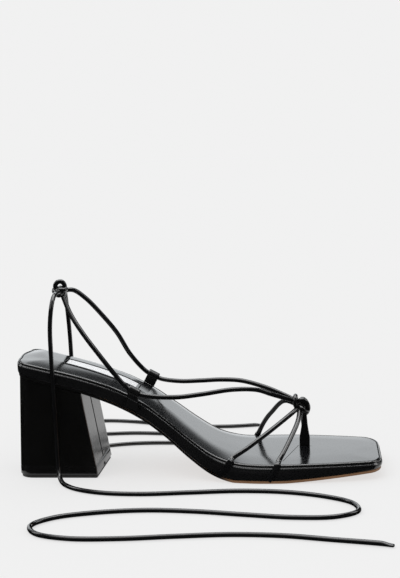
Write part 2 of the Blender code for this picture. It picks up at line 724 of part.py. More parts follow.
def vamp_strap(strap):
    """Round from the knot to the sole's edge, then flat down the side."""
    start = toe_knot()
    over = edge_place(strap.station, strap.side, -CORD * 0.9, CORD / 2 + GAP)
    places = strap_between(start, over, VAMP_BENDS[strap.name])
    clear = FLAT_THICKNESS / 2 + GAP + WALL_BULGE
    back = strap.slant / SOLE_LENGTH
    station = strap.station
    wall = top_height(station) - under_height(station) - OUTSOLE_THICKNESS - GAP
    places.append(edge_place(station - 0.05 * back, strap.side, 0.7 * clear, 0.8 * clear))
    places.append(edge_place(station - 0.20 * back, strap.side, 1.1 * clear, -RIM_ROUND))
    places.append(edge_place(station - 0.45 * back, strap.side, clear, -0.45 * wall))
    places.append(edge_place(station - back, strap.side, clear, -wall + RIM_ROUND))
    places = smooth_route(places, step=CORD_STEP * 0.6)
    widths, thicknesses = [], []
    for p in places:
        beyond = strap.side * p.y - half_width((p.x - SEAT_BACK) / SOLE_LENGTH, strap.side)
        t = min(max((beyond + 2.2 * CORD) / (2.2 * CORD), 0.0), 1.0)
        t = t * t * (3 - 2 * t)
        widths.append(CORD + (FLAT_WIDTH - CORD) * t)
        thicknesses.append(CORD + (FLAT_THICKNESS - CORD) * t)
    return sweep("strap_" + strap.name, places, widths, thicknesses, foot_axis)


def lace(side_name):
    """From the toe knot through the side loop and up to the knot behind the ankle."""
    reach = 0.7 * LOOP_WIDTH
    places = strap_between(lace_start(), loop_place(side_name, reach), LACE_BENDS[side_name])
    places.append(loop_place(side_name))
    places += strap_between(loop_place(side_name, -reach), ankle_knot(), HEEL_BENDS[side_name])
    places = smooth_route(places, step=CORD_STEP)
    return sweep("lace_" + side_name, places, [CORD] * len(places), [CORD] * len(places), foot_axis)


def toe_post():
    """A flat leather tab that narrows from the footbed up to the knot."""
    foot = post_foot()
    station = (foot.x - SEAT_BACK) / SOLE_LENGTH
    bottom = Vector((foot.x, foot.y, recess_height(station) + GAP))
    top = toe_knot() + Vector((POST_TOP_AHEAD, 0, 0))
    places = [bottom] + [foot.lerp(top, share) for share, _ in POST_TAPER]
    widths = [POST_BASE_WIDTH] + [POST_BASE_WIDTH * width for _, width in POST_TAPER]
    rings = []
    for p, width in zip(places, widths):
        half = width / 2
        thick = POST_THICKNESS / 2
        soft = 0.3 * POST_THICKNESS
        rings.append([p + Vector((sx * (half - cx), sy * (thick - cy), 0)) for sx, sy, cx, cy in (
            (-1, -1, 0, soft), (-1, -1, soft, 0), (1, -1, soft, 0), (1, -1, 0, soft),
            (1, 1, 0, soft), (1, 1, soft, 0), (-1, 1, soft, 0), (-1, 1, 0, soft),
        )])
    vertices, faces = stack_of_rings(rings)
    faces.append(list(range(8))[::-1])
    faces.append(list(range(len(vertices) - 8, len(vertices))))
    return new_object("post_tab", vertices, faces)


def knot_pieces(name, middle, core, turns):
    """A knot's core and the turns of cord over it, whose ends are buried in the core."""
    ball = bmesh.new()
    bmesh.ops.create_uvsphere(ball, u_segments=10, v_segments=7, radius=CORD)
    bmesh.ops.scale(ball, vec=Vector(core), verts=ball.verts)
    bmesh.ops.translate(ball, vec=middle, verts=ball.verts)
    mesh = bpy.data.meshes.new(name + "_core")
    ball.to_mesh(mesh)
    ball.free()
    made = bpy.data.objects.new(name + "_core", mesh)
    bpy.context.scene.collection.objects.link(made)
    pieces = [made]
    for index, turn in enumerate(turns):
        places = smooth_route([middle + Vector(p) * CORD for p in turn], step=CORD_STEP / 2)
        size = [CORD] * len(places)
        pieces.append(sweep(f"{name}_turn_{index + 1}", places, size, size, lambda p: middle))
    return pieces


def build_upper():
    """Vamp straps, post, knots and laces are one piece, joined where they cross."""
    pieces = [vamp_strap(strap) for strap in VAMP_STRAPS]
    pieces += [lace("medial"), toe_post()]
    pieces += knot_pieces("toe_knot", toe_knot(), TOE_KNOT_CORE, TOE_KNOT_TURNS)
    pieces += knot_pieces("ankle_knot", ankle_knot(), ANKLE_KNOT_CORE, ANKLE_KNOT_TURNS)
    upper = lace("lateral")
    upper.name = "upper"
    upper.data.materials.append(material("black_strap", BLACK_LEATHER, 0.22))
    for piece in pieces:
        boolean(upper, "UNION", helper(piece))
    return upper


def build_loop(side_name):
    """A leather loop round the lace, with its doubled tail on the side of the sole."""
    side = LATERAL if side_name == "lateral" else MEDIAL
    station = LOOP_STATION[side_name]
    hole = CORD / 2 + GAP
    outer = hole + LOOP_LEATHER
    centre = loop_place(side_name)
    wall = top_height(station) - under_height(station) - OUTSOLE_THICKNESS - GAP
    rise = LOOP_RISE[side_name]
    tail_in = -LOOP_OUT + WALL_BULGE + GAP
    tail_out = tail_in + 2 * LOOP_LEATHER
    profile = []
    for angle in range(-50, 231, 20):
        a = math.radians(angle)
        profile.append((outer * math.cos(a), outer * math.sin(a)))
    profile += [(tail_in, -rise * 0.55), (tail_in, -rise - wall * TAIL_SHARE)]
    profile += [(tail_out, -rise - wall * TAIL_SHARE), (tail_out, -rise * 0.55)]
    ahead = Vector((math.cos(LOOP_LEAN), 0, -math.sin(LOOP_LEAN)))
    up = Vector((math.sin(LOOP_LEAN), 0, math.cos(LOOP_LEAN)))
    down = Vector((math.sin(TAIL_LEAN[side_name]), 0, math.cos(TAIL_LEAN[side_name])))
    out = Vector((0, side, 0))
    rings = []
    for f in (-0.5, 0.5):
        end = centre + ahead * (LOOP_WIDTH * f)
        rings.append([end + out * u + (up if v > -hole else down) * v for u, v in profile])
    vertices, faces = stack_of_rings(rings)
    n = len(profile)
    faces.append(list(range(n))[::-1])
    faces.append(list(range(n, 2 * n)))
    finish = material("black_loop_" + side_name, BLACK_LEATHER, 0.4)
    made = new_object("loop_" + side_name, vertices, faces, finish)
    bore = bmesh.new()
    bmesh.ops.create_cone(
        bore, cap_ends=True, segments=12, radius1=hole, radius2=hole, depth=LOOP_WIDTH * 2,
        matrix=Matrix.Translation(centre) @ ahead.to_track_quat("Z", "Y").to_matrix().to_4x4(),
    )
    mesh = bpy.data.meshes.new("loop_bore_" + side_name)
    bore.to_mesh(mesh)
    bore.free()
    cutter = bpy.data.objects.new("loop_bore_" + side_name, mesh)
    bpy.context.scene.collection.objects.link(cutter)
    boolean(made, "DIFFERENCE", helper(cutter))
    return made


def build_tie(name, route):
    """A tie is a bevelled line through points read off its smooth route."""
    curve = bpy.data.curves.new(name, "CURVE")
    curve.dimensions = "3D"
    curve.bevel_depth = TIE / 2
    curve.bevel_resolution = 2
    curve.use_fill_caps = True
    line = curve.splines.new("POLY")
    places = smooth_route(route, count=TIE_POINTS)
    line.points.add(len(places) - 1)
    for point, place in zip(line.points, places):
        point.co = (place.x, place.y, max(place.z, TIE / 2 + FLOOR_GAP), 1.0)
    curve.materials.append(material("black_" + name, BLACK_LEATHER, 0.22))
    made = bpy.data.objects.new(name, curve)
    bpy.context.scene.collection.objects.link(made)
    return made


def main():
    start_clean()
    sandal = bpy.data.objects.new("sandal", None)
    bpy.context.scene.collection.objects.link(sandal)
    build_outsole()
    build_midsole()
    build_insole()
    build_heel_block()
    build_heel_cap()
    build_top_piece()
    build_upper()
    build_loop("lateral")
    build_loop("medial")
    build_tie("tie_lateral", TIE_LATERAL_ROUTE)
    build_tie("tie_medial", TIE_MEDIAL_ROUTE)
    for made in bpy.context.scene.objects:
        if made is not sandal:
            made.parent = sandal


main()
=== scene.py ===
"""Looks of the lace up heeled sandal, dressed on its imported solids. Metres, +Z up, toe along +X."""

import math
from collections import namedtuple

import bmesh
import bpy
import numpy as np
from mathutils import Matrix, Vector, noise


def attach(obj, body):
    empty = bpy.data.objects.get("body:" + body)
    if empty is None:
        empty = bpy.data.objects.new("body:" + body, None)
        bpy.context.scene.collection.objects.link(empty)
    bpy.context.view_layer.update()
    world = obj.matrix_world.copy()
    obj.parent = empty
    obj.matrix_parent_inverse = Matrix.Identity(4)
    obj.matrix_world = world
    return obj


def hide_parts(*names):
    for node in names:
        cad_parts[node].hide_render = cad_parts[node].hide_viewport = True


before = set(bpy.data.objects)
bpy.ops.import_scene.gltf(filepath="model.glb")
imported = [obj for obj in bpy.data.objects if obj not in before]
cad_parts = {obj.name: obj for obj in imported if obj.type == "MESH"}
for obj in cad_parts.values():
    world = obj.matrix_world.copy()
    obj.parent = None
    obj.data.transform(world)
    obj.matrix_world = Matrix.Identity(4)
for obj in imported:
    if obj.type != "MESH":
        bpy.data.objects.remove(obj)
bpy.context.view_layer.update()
scene = bpy.context.scene

# Camera: stands where the photograph's camera stood, on the outer side ahead of the ball of the foot.
# It looks a little down and is turned a little towards the heel. The photograph is 578 pixels tall.

PHOTO_TALL = 578
FOCAL_PIXELS = 1155.0
CAMERA_PLACE = Vector((0.17535, -0.7591, 0.2134))
CAMERA_DOWN = math.radians(6.83)
CAMERA_TURN = math.radians(6.01)
CAMERA_ROLL = math.radians(-1.59)


def add_object(name, data):
    made = bpy.data.objects.new(name, data)
    scene.collection.objects.link(made)
    return made


def add_camera():
    lens = bpy.data.cameras.new("photo_camera")
    lens.sensor_fit = "AUTO"
    lens.sensor_width = 36.0
    lens.lens = FOCAL_PIXELS * lens.sensor_width / PHOTO_TALL
    lens.clip_start = 0.01
    lens.clip_end = 60.0
    camera = add_object("photo_camera", lens)
    ahead = Vector((
        -math.sin(CAMERA_TURN) * math.cos(CAMERA_DOWN),
        math.cos(CAMERA_TURN) * math.cos(CAMERA_DOWN),
        -math.sin(CAMERA_DOWN),
    ))
    level = Vector((math.cos(CAMERA_TURN), math.sin(CAMERA_TURN), 0.0))
    above = level.cross(ahead)
    right = math.cos(CAMERA_ROLL) * level + math.sin(CAMERA_ROLL) * above
    up = math.cos(CAMERA_ROLL) * above - math.sin(CAMERA_ROLL) * level
    turn = Matrix((right, up, -ahead)).transposed().to_4x4()
    camera.matrix_world = Matrix.Translation(CAMERA_PLACE) @ turn
    scene.camera = camera


add_camera()

# Stage: a plain pale floor that runs on into a plain pale background, as in a product photograph.
# Bright cards behind and above give the leather its sheen, and dark cards in front keep the side
# that faces the viewer black. The cards show only in reflections.

BACKDROP = 0.879
ROOM_LIGHT = 0.85
ROOM_IN_GLOSS = 0.035
SUN_LIGHT = 0.80
SUN_SOFTNESS = math.radians(50)
SUN_FROM = Vector((-0.30, -0.35, 1.0))
FLOOR_GLOW = 0.641
FLOOR_WHITE = 0.22
FLOOR_REACH = 30.0
FLOOR_UNDER = 0.0002
WHITE = (1.0, 1.0, 1.0)
COOL = (0.94, 0.975, 1.0)


def add_node(tree, kind, inputs=(), **settings):
    """Adds a node. Each of its inputs takes a plain value, or another node's output as a link."""
    made = tree.nodes.new(kind)
    for name, value in settings.items():
        setattr(made, name, value)
    for name, value in dict(inputs).items():
        if isinstance(value, bpy.types.NodeSocket):
            tree.links.new(value, made.inputs[name])
        else:
            made.inputs[name].default_value = value
    return made


def new_material(name):
    made = bpy.data.materials.new(name)
    made.use_nodes = True
    made.node_tree.nodes.clear()
    return made, made.node_tree


def show(tree, kind, inputs):
    """Ends a material in one shader."""
    shader = add_node(tree, kind, inputs)
    add_node(tree, "ShaderNodeOutputMaterial", {"Surface": shader.outputs[0]})


def flat_sheet(name, width, height):
    corners = [(x * width / 2, y * height / 2, 0) for x, y in ((-1, -1), (1, -1), (1, 1), (-1, 1))]
    mesh = bpy.data.meshes.new(name)
    mesh.from_pydata(corners, [], [(0, 1, 2, 3)])
    return add_object(name, mesh)


def card(name, centre, size, facing, light, fade=None, tint=WHITE):
    """A card of the studio, seen only in reflections. It can fade out upwards, at a slant."""
    made = flat_sheet(name, *size)
    turn = Vector(facing).to_track_quat("Z", "Y").to_matrix().to_4x4()
    made.matrix_world = Matrix.Translation(Vector(centre)) @ turn
    paint, tree = new_material(name)
    strength = light
    if fade:
        low, high, slant = fade
        place = add_node(tree, "ShaderNodeNewGeometry").outputs["Position"]
        level = add_node(
            tree, "ShaderNodeVectorMath", {0: place, 1: (slant, 0.0, 1.0)}, operation="DOT_PRODUCT"
        )
        ramp = {"Value": level.outputs["Value"], "From Min": low, "From Max": high}
        ramp |= {"To Min": light, "To Max": ROOM_IN_GLOSS}
        strength = add_node(
            tree, "ShaderNodeMapRange", ramp, interpolation_type="SMOOTHSTEP"
        ).outputs["Result"]
    show(tree, "ShaderNodeEmission", {"Color": (*tint, 1), "Strength": strength})
    made.data.materials.append(paint)
    made.visible_camera = False
    made.visible_diffuse = False
    made.visible_shadow = False
    made.visible_transmission = False


def build_floor():
    """Paper lit from below and above, so that shadows on it stay as faint as in the photograph."""
    floor = flat_sheet("floor", 2 * FLOOR_REACH, 2 * FLOOR_REACH)
    floor.location.z = -FLOOR_UNDER
    paint, tree = new_material("floor_paper")
    show(tree, "ShaderNodeBsdfPrincipled", {
        "Base Color": (FLOOR_WHITE, FLOOR_WHITE, FLOOR_WHITE, 1),
        "Roughness": 1.0,
        "Specular IOR Level": 0.0,
        "Emission Color": (*WHITE, 1),
        "Emission Strength": FLOOR_GLOW,
    })
    floor.data.materials.append(paint)


def build_room():
    world = bpy.data.worlds.new("studio")
    scene.world = world
    world.use_nodes = True
    tree = world.node_tree
    tree.nodes.clear()
    ray = add_node(tree, "ShaderNodeLightPath").outputs
    lights = []
    for strength in (ROOM_LIGHT, ROOM_IN_GLOSS, BACKDROP):
        light = add_node(tree, "ShaderNodeBackground", {"Color": (*WHITE, 1), "Strength": strength})
        lights.append(light.outputs[0])
    gloss = add_node(tree, "ShaderNodeMixShader", {0: ray["Is Glossy Ray"], 1: lights[0], 2: lights[1]})
    seen = add_node(
        tree, "ShaderNodeMixShader", {0: ray["Is Camera Ray"], 1: gloss.outputs[0], 2: lights[2]}
    )
    add_node(tree, "ShaderNodeOutputWorld", {"Surface": seen.outputs[0]})


def build_sun():
    sun = bpy.data.lights.new("soft_sun", "SUN")
    sun.energy = SUN_LIGHT
    sun.angle = SUN_SOFTNESS
    sun.specular_factor = 0.0
    made = add_object("soft_sun", sun)
    made.rotation_euler = SUN_FROM.to_track_quat("Z", "Y").to_euler()


build_floor()
build_room()
build_sun()
card(
    "back_card", (0.0, 1.5, 0.62), (3.4, 1.24), (0, -1, 0.0), 1.35, fade=(0.80, 0.98, 0.95), tint=COOL
)
card("high_card", (0.0, 1.00, 1.20), (1.6, 0.42), (0, -1, -1), 3.4, tint=COOL)
card("top_card", (0.10, 0.05, 1.10), (1.2, 0.70), (0, -0.1, -1), 6.0)
card("left_card", (-0.95, 0.20, 0.75), (0.50, 0.60), (1, -0.1, -0.75), 3.4)
card("right_card", (1.15, 0.20, 0.75), (0.50, 0.60), (-1, -0.1, -0.75), 3.4)
card("front_flag", (0.05, -1.035, 0.0006), (4.0, 2.01), (0, 0, 1), 0.0)
card("front_wall", (0.05, -1.9, 0.55), (5.0, 1.3), (0, 1, 0), 0.0)
card("left_flag", (-1.015, 0.47, 0.0006), (1.96, 1.0), (0, 0, 1), 0.0)
scene.view_settings.view_transform = "Standard"
scene.view_settings.look = "None"

# Strand leather: a thin glossy black skin rolled round a soft core and closed by one lengthwise seam.
# It creases across in small folds all along its length, and its gloss breaks up on them.

STRAND_DARK = (0.0022, 0.0022, 0.0024)
STRAND_LIGHT = (0.0060, 0.0062, 0.0068)
FOLD_STRETCH = (340.0, 3.2, 1.0)
WAVE_STRETCH = (60.0, 1.3, 1.0)
ROLL_SEAM_AT = 0.78
ROLL_SEAM_HALF = 0.035


def socket(group, name, way, value=None):
    made = group.interface.new_socket(name, in_out=way, socket_type="NodeSocketFloat")
    if value is not None:
        made.default_value = value


def maths(tree, operation, a, b=None, c=None, limited=False):
    given = {slot: value for slot, value in enumerate((a, b, c)) if value is not None}
    return add_node(tree, "ShaderNodeMath", given, operation=operation, use_clamp=limited).outputs[0]


def scaled(tree, value, by, plus, limited=False):
    """A value times one factor, plus what is given last."""
    return maths(tree, "MULTIPLY_ADD", value, by, plus, limited)


def object_place(tree):
    return add_node(tree, "ShaderNodeTexCoord").outputs["Object"]


def split_place(tree, place):
    return add_node(tree, "ShaderNodeSeparateXYZ", {0: place}).outputs


def speckle(tree, place, scale, detail, warp=0.0):
    given = {"Vector": place, "Scale": scale, "Detail": detail, "Distortion": warp}
    return add_node(tree, "ShaderNodeTexNoise", given).outputs["Fac"]


def stretched(tree, place, scale):
    return add_node(tree, "ShaderNodeMapping", {"Vector": place, "Scale": scale}).outputs[0]


def mix(tree, share, a, b):
    """A colour between two others, each of which is three numbers or another node's output."""
    given = {"Factor": share}
    for name, colour in (("A", a), ("B", b)):
        given[name] = colour if isinstance(colour, bpy.types.NodeSocket) else (*colour, 1)
    return add_node(tree, "ShaderNodeMix", given, data_type="RGBA").outputs["Result"]


def bump(tree, height, strength, depth, under=None):
    given = {"Height": height, "Strength": strength, "Distance": depth}
    if under:
        given["Normal"] = under
    return add_node(tree, "ShaderNodeBump", given).outputs[0]


def grain_group():
    """Fine leather grain: cells with soft hollows between them, and a slow change of gloss."""
    group = bpy.data.node_groups.new("leather_grain", "ShaderNodeTree")
    socket(group, "Cell", "INPUT", 0.0007)
    socket(group, "Height", "OUTPUT")
    socket(group, "Cloud", "OUTPUT")
    place = object_place(group)
    scale = maths(group, "DIVIDE", 1.0, add_node(group, "NodeGroupInput").outputs["Cell"])
    given = {"Vector": place, "Scale": scale, "Smoothness": 0.6}
    cells = add_node(group, "ShaderNodeTexVoronoi", given, feature="SMOOTH_F1")
    fine = speckle(group, place, maths(group, "MULTIPLY", scale, 2.3), 3.0)
    height = scaled(group, cells.outputs["Distance"], -0.7, 0.8)
    height = scaled(group, fine, 0.35, height)
    add_node(group, "NodeGroupOutput", {"Height": height, "Cloud": speckle(group, place, 55.0, 4.0)})
    return group


GRAIN = grain_group()


def grained(tree, cell):
    return add_node(tree, "ShaderNodeGroup", {"Cell": cell}, node_tree=GRAIN).outputs


def crease_group():
    """Cross folds of a rolled strand, and its lengthwise seam, from the strand's own coordinates."""
    group = bpy.data.node_groups.new("strand_creases", "ShaderNodeTree")
    socket(group, "Height", "OUTPUT")
    socket(group, "Seam", "OUTPUT")
    uv = add_node(group, "ShaderNodeTexCoord").outputs["UV"]
    folds = speckle(group, stretched(group, uv, FOLD_STRETCH), 1.0, 3.0, 0.6)
    waves = speckle(group, stretched(group, uv, WAVE_STRETCH), 1.0, 2.0)
    turn = split_place(group, uv)["Y"]
    away = maths(group, "ABSOLUTE", maths(group, "SUBTRACT", turn, ROLL_SEAM_AT))
    away = maths(group, "DIVIDE", away, ROLL_SEAM_HALF)
    seam = maths(group, "SUBTRACT", 1.0, away, limited=True)
    height = scaled(group, waves, 0.9, folds)
    height = scaled(group, seam, -0.8, height)
    add_node(group, "NodeGroupOutput", {"Height": height, "Seam": seam})
    return group


CREASES = crease_group()


def strand_leather():
    made, tree = new_material("strand_leather")
    creases = add_node(tree, "ShaderNodeGroup", node_tree=CREASES).outputs
    grain = grained(tree, 0.0004)
    share = maths(tree, "MULTIPLY", grain["Cloud"], 0.8)
    rough = scaled(tree, grain["Cloud"], 0.10, 0.07)
    folds = bump(tree, creases["Height"], 0.22, 0.00012)
    show(tree, "ShaderNodeBsdfPrincipled", {
        "Base Color": mix(tree, share, STRAND_DARK, STRAND_LIGHT),
        "Roughness": scaled(tree, creases["Seam"], 0.2, rough),
        "Specular IOR Level": 0.3,
        "Coat Weight": 0.45,
        "Coat Roughness": 0.05,
        "Normal": bump(tree, grain["Height"], 0.10, 0.00004, under=folds),
    })
    return made


STRAND_LEATHER = strand_leather()

# Ties: the two free ends of the laces. They leave the ankle knot sideways, fall outside the seat and
# lie on the floor in loose curves. Each ends in a tip that is pressed flat.

TIE = 0.0030
TIE_TIP = 0.0070
TIE_TIP_SPREAD = 0.22
TIE_TIP_THIN = 0.40
TIE_STEP = 0.0012
TIE_LEVELS = 60
TIE_SIDES = 16
TIE_DOME = 0.9
FLOOR_GAP = 0.0001
CURVE_STEPS = 12
STEEP = 0.9
DOME_SHARES = (0.85, 0.55, 0.15)
TIE_LATERAL_ROUTE = (
    (0.0014, -0.0096, 0.1218), (0.0008, -0.0142, 0.1221), (0.0002, -0.0196, 0.1197),
    (-0.0003, -0.0248, 0.1130), (-0.0007, -0.0284, 0.1011), (-0.0004, -0.0299, 0.0859),
    (-0.0001, -0.0302, 0.0707), (0.0004, -0.0304, 0.0505), (0.0009, -0.0307, 0.0303),
    (0.0015, -0.0322, 0.0141), (0.0036, -0.0372, 0.0046), (0.0078, -0.0448, 0.0018),
    (0.0180, -0.0558, 0.0016), (0.0360, -0.0640, 0.0016), (0.0620, -0.0664, 0.0016),
    (0.0920, -0.0628, 0.0016), (0.1220, -0.0592, 0.0016), (0.1510, -0.0612, 0.0016),
    (0.1760, -0.0700, 0.0016), (0.1925, -0.0830, 0.0016), (0.1950, -0.0985, 0.0016),
    (0.1820, -0.1090, 0.0016), (0.1580, -0.1108, 0.0016), (0.1290, -0.1062, 0.0016),
    (0.0990, -0.1006, 0.0016), (0.0690, -0.0988, 0.0016), (0.0400, -0.1040, 0.0016),
    (0.0170, -0.1140, 0.0016), (0.0070, -0.1280, 0.0016), (0.0130, -0.1420, 0.0016),
    (0.0330, -0.1500, 0.0016), (0.0620, -0.1496, 0.0016), (0.0930, -0.1450, 0.0016),
    (0.1240, -0.1414, 0.0016), (0.1530, -0.1428, 0.0016), (0.1800, -0.1486, 0.0016),
    (0.2010, -0.1530, 0.0016), (0.2118, -0.1556, 0.0016),
)
TIE_MEDIAL_ROUTE = (
    (0.0022, 0.0036, 0.1217), (0.0016, 0.0086, 0.1221), (0.0006, 0.0148, 0.1203),
    (-0.0004, 0.0212, 0.1148), (-0.0006, 0.0262, 0.1027), (-0.0003, 0.0286, 0.0869),
    (0.0000, 0.0292, 0.0707), (0.0006, 0.0296, 0.0505), (0.0012, 0.0301, 0.0303),
    (0.0022, 0.0318, 0.0141), (0.0046, 0.0366, 0.0048), (0.0092, 0.0436, 0.0018),
    (0.0200, 0.0522, 0.0016), (0.0380, 0.0586, 0.0016), (0.0640, 0.0604, 0.0016),
    (0.0940, 0.0562, 0.0016), (0.1240, 0.0526, 0.0016), (0.1530, 0.0524, 0.0016),
    (0.1760, 0.0512, 0.0016), (0.1900, 0.0522, 0.0016), (0.1984, 0.0580, 0.0016),
    (0.1980, 0.0664, 0.0016), (0.1890, 0.0712, 0.0016), (0.1740, 0.0706, 0.0016),
    (0.1490, 0.0682, 0.0016), (0.1200, 0.0696, 0.0016), (0.0900, 0.0772, 0.0016),
    (0.0620, 0.0866, 0.0016), (0.0340, 0.0900, 0.0016), (0.0080, 0.0872, 0.0016),
    (-0.0120, 0.0888, 0.0016), (-0.0230, 0.0990, 0.0016), (-0.0238, 0.1130, 0.0016),
    (-0.0140, 0.1250, 0.0016), (0.0040, 0.1304, 0.0016), (0.0260, 0.1272, 0.0016),
    (0.0520, 0.1180, 0.0016), (0.0790, 0.1112, 0.0016), (0.1030, 0.1106, 0.0016),
    (0.1230, 0.1150, 0.0016), (0.1290, 0.1172, 0.0016),
)


def clamp(value):
    return min(max(value, 0.0), 1.0)


def ease(value):
    """Rises from nought to one on an S curve."""
    t = clamp(value)
    return t * t * (3 - 2 * t)


def running_lengths(points):
    return np.concatenate([[0.0], np.cumsum([(b - a).length for a, b in zip(points, points[1:])])])


def places_along(points, lengths, at):
    table = np.array([tuple(p) for p in points])
    return [Vector([np.interp(d, lengths, table[:, axis]) for axis in range(3)]) for d in at]


def smooth_route(points, step):
    """Reads equally spaced points off a smooth curve through the route's own points."""
    route = [Vector(p) for p in points]
    ends = [route[0] * 2 - route[1], *route, route[-1] * 2 - route[-2]]
    fine = []
    for k in range(1, len(ends) - 2):
        p0, p1, p2, p3 = ends[k - 1 : k + 3]
        t1 = math.sqrt((p1 - p0).length)
        t2 = t1 + math.sqrt((p2 - p1).length)
        t3 = t2 + math.sqrt((p3 - p2).length)
        for i in range(CURVE_STEPS):
            t = t1 + (t2 - t1) * i / CURVE_STEPS
            a1 = p0 * ((t1 - t) / t1) + p1 * (t / t1)
            a2 = p1 * ((t2 - t) / (t2 - t1)) + p2 * ((t - t1) / (t2 - t1))
            a3 = p2 * ((t3 - t) / (t3 - t2)) + p3 * ((t - t2) / (t3 - t2))
            b1 = a1 * ((t2 - t) / t2) + a2 * (t / t2)
            b2 = a2 * ((t3 - t) / (t3 - t1)) + a3 * ((t - t1) / (t3 - t1))
            fine.append(b1 * ((t2 - t) / (t2 - t1)) + b2 * ((t - t1) / (t2 - t1)))
    fine.append(route[-1])
    lengths = running_lengths(fine)
    count = max(4, round(lengths[-1] / step) + 1)
    return places_along(fine, lengths, np.linspace(0, lengths[-1], count))


def stack_of_rings(rings, closed=False):
    """Joins rings of equally many places into a wall. Its two ends can be closed by one face each."""
    vertices = [p for r in rings for p in r]
    n = len(rings[0])
    faces = []
    for level in range(len(rings) - 1):
        for k in range(n):
            a = level * n + k
            b = level * n + (k + 1) % n
            faces.append([a, b, b + n, a + n])
    if closed:
        faces.append(list(range(n))[::-1])
        faces.append(list(range(len(vertices) - n, len(vertices))))
    return vertices, faces


def outward_mesh(name, vertices, faces, uvs=None):
    """A mesh whose faces all look outward. uvs holds a pair for each corner of each face."""
    mesh = bpy.data.meshes.new(name)
    mesh.from_pydata([tuple(v) for v in vertices], [], faces)
    if uvs is not None:
        layer = mesh.uv_layers.new(name="around")
        for loop, pair in zip(layer.data, uvs):
            loop.uv = pair
    turned = bmesh.new()
    turned.from_mesh(mesh)
    bmesh.ops.recalc_face_normals(turned, faces=turned.faces)
    turned.to_mesh(mesh)
    turned.free()
    return mesh


def mesh_object(name, vertices, faces, paint, uvs=None, sharp=math.radians(50)):
    """A smooth shaded piece that rides on the shoe."""
    mesh = outward_mesh(name, vertices, faces, uvs)
    mesh.shade_smooth()
    mesh.set_sharp_from_angle(angle=sharp)
    mesh.materials.append(paint)
    made = add_object(name, mesh)
    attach(made, "root")
    return made


def level_end(frames, reach):
    """Turns the last frames of a strand slowly about it, so that its flat end lies level."""
    _, ahead, flat, _ = frames[-1]
    level = ahead.cross(Vector((0, 0, 1))).normalized()
    turn = math.atan2(ahead.dot(flat.cross(level)), flat.dot(level))
    for k in range(len(frames) - reach, len(frames)):
        p, ahead, flat, out = frames[k]
        by = Matrix.Rotation(turn * ease((k - len(frames) + reach + 1) / reach), 3, ahead)
        frames[k] = (p, ahead, by @ flat, by @ out)


def strand_frames(places, away_from):
    """A place, the way ahead, the flat way across and the way out, for each place of a strand."""
    last = len(places) - 1
    frames = []
    flat = None
    for k, p in enumerate(places):
        ahead = (places[min(k + 1, last)] - places[max(k - 1, 0)]).normalized()
        if away_from:
            out = p - away_from(p)
            out = (out - ahead * out.dot(ahead)).normalized()
            flat = ahead.cross(out)
        elif flat is None:
            aside = Vector((0, 0, 1)) if abs(ahead.z) < STEEP else Vector((1, 0, 0))
            flat = ahead.cross(aside).normalized()
        else:
            flat = (flat - ahead * flat.dot(ahead)).normalized()
        frames.append((p, ahead, flat, flat.cross(ahead)))
    return frames


def domed_end(frame_at, way, width, thickness, dome):
    """Ever smaller rows beyond the end of a strand."""
    p, ahead, flat, out = frame_at
    rows = []
    for share in DOME_SHARES:
        shrink = math.sqrt(1 - (1 - share) ** 2)
        beyond = p + ahead * (way * thickness / 2 * dome * (1 - share))
        rows.append((beyond, flat, out, width * shrink, thickness * shrink))
    return rows


def tube(name, places, widths, thicknesses, sides, away_from=None, dome=0.5, level=0):
    """A strand through the places, oval where width and thickness differ, with domed ends."""
    frames = strand_frames(places, away_from)
    if level:
        level_end(frames, level)
    rows = domed_end(frames[0], -1, widths[0], thicknesses[0], dome)[::-1]
    rows += [(p, flat, out, widths[k], thicknesses[k]) for k, (p, _, flat, out) in enumerate(frames)]
    rows += domed_end(frames[-1], 1, widths[-1], thicknesses[-1], dome)
    turns = [2 * math.pi * i / sides for i in range(sides)]
    rings = [
        [p + flat * (width / 2 * math.cos(a)) - out * (thickness / 2 * math.sin(a)) for a in turns]
        for p, flat, out, width, thickness in rows
    ]
    vertices, faces = stack_of_rings(rings, closed=True)
    along = running_lengths([row[0] for row in rows])
    uvs = []
    for before, after in zip(along, along[1:]):
        for i in range(sides):
            low, high = i / sides, (i + 1) / sides
            uvs += [(before, low), (before, high), (after, high), (after, low)]
    uvs += [(0.0, i / sides) for i in reversed(range(sides))]
    uvs += [(along[-1], i / sides) for i in range(sides)]
    return mesh_object(name, vertices, faces, STRAND_LEATHER, uvs)


def build_tie(name, node, route):
    places = smooth_route(route, TIE_STEP)
    widths, thicknesses = [], []
    for k, place in enumerate(places):
        press = ease(1 - (len(places) - 1 - k) * TIE_STEP / TIE_TIP)
        widths.append(TIE * (1 + TIE_TIP_SPREAD * press))
        thicknesses.append(TIE * (1 - TIE_TIP_THIN * press))
        place.z = max(place.z, TIE / 2 + FLOOR_GAP) - (TIE - thicknesses[k]) / 2
    made = tube(name, places, widths, thicknesses, TIE_SIDES, dome=TIE_DOME, level=TIE_LEVELS)
    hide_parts(node)


build_tie("tie_outer", "tie_lateral", TIE_LATERAL_ROUTE)
build_tie("tie_inner", "tie_medial", TIE_MEDIAL_ROUTE)
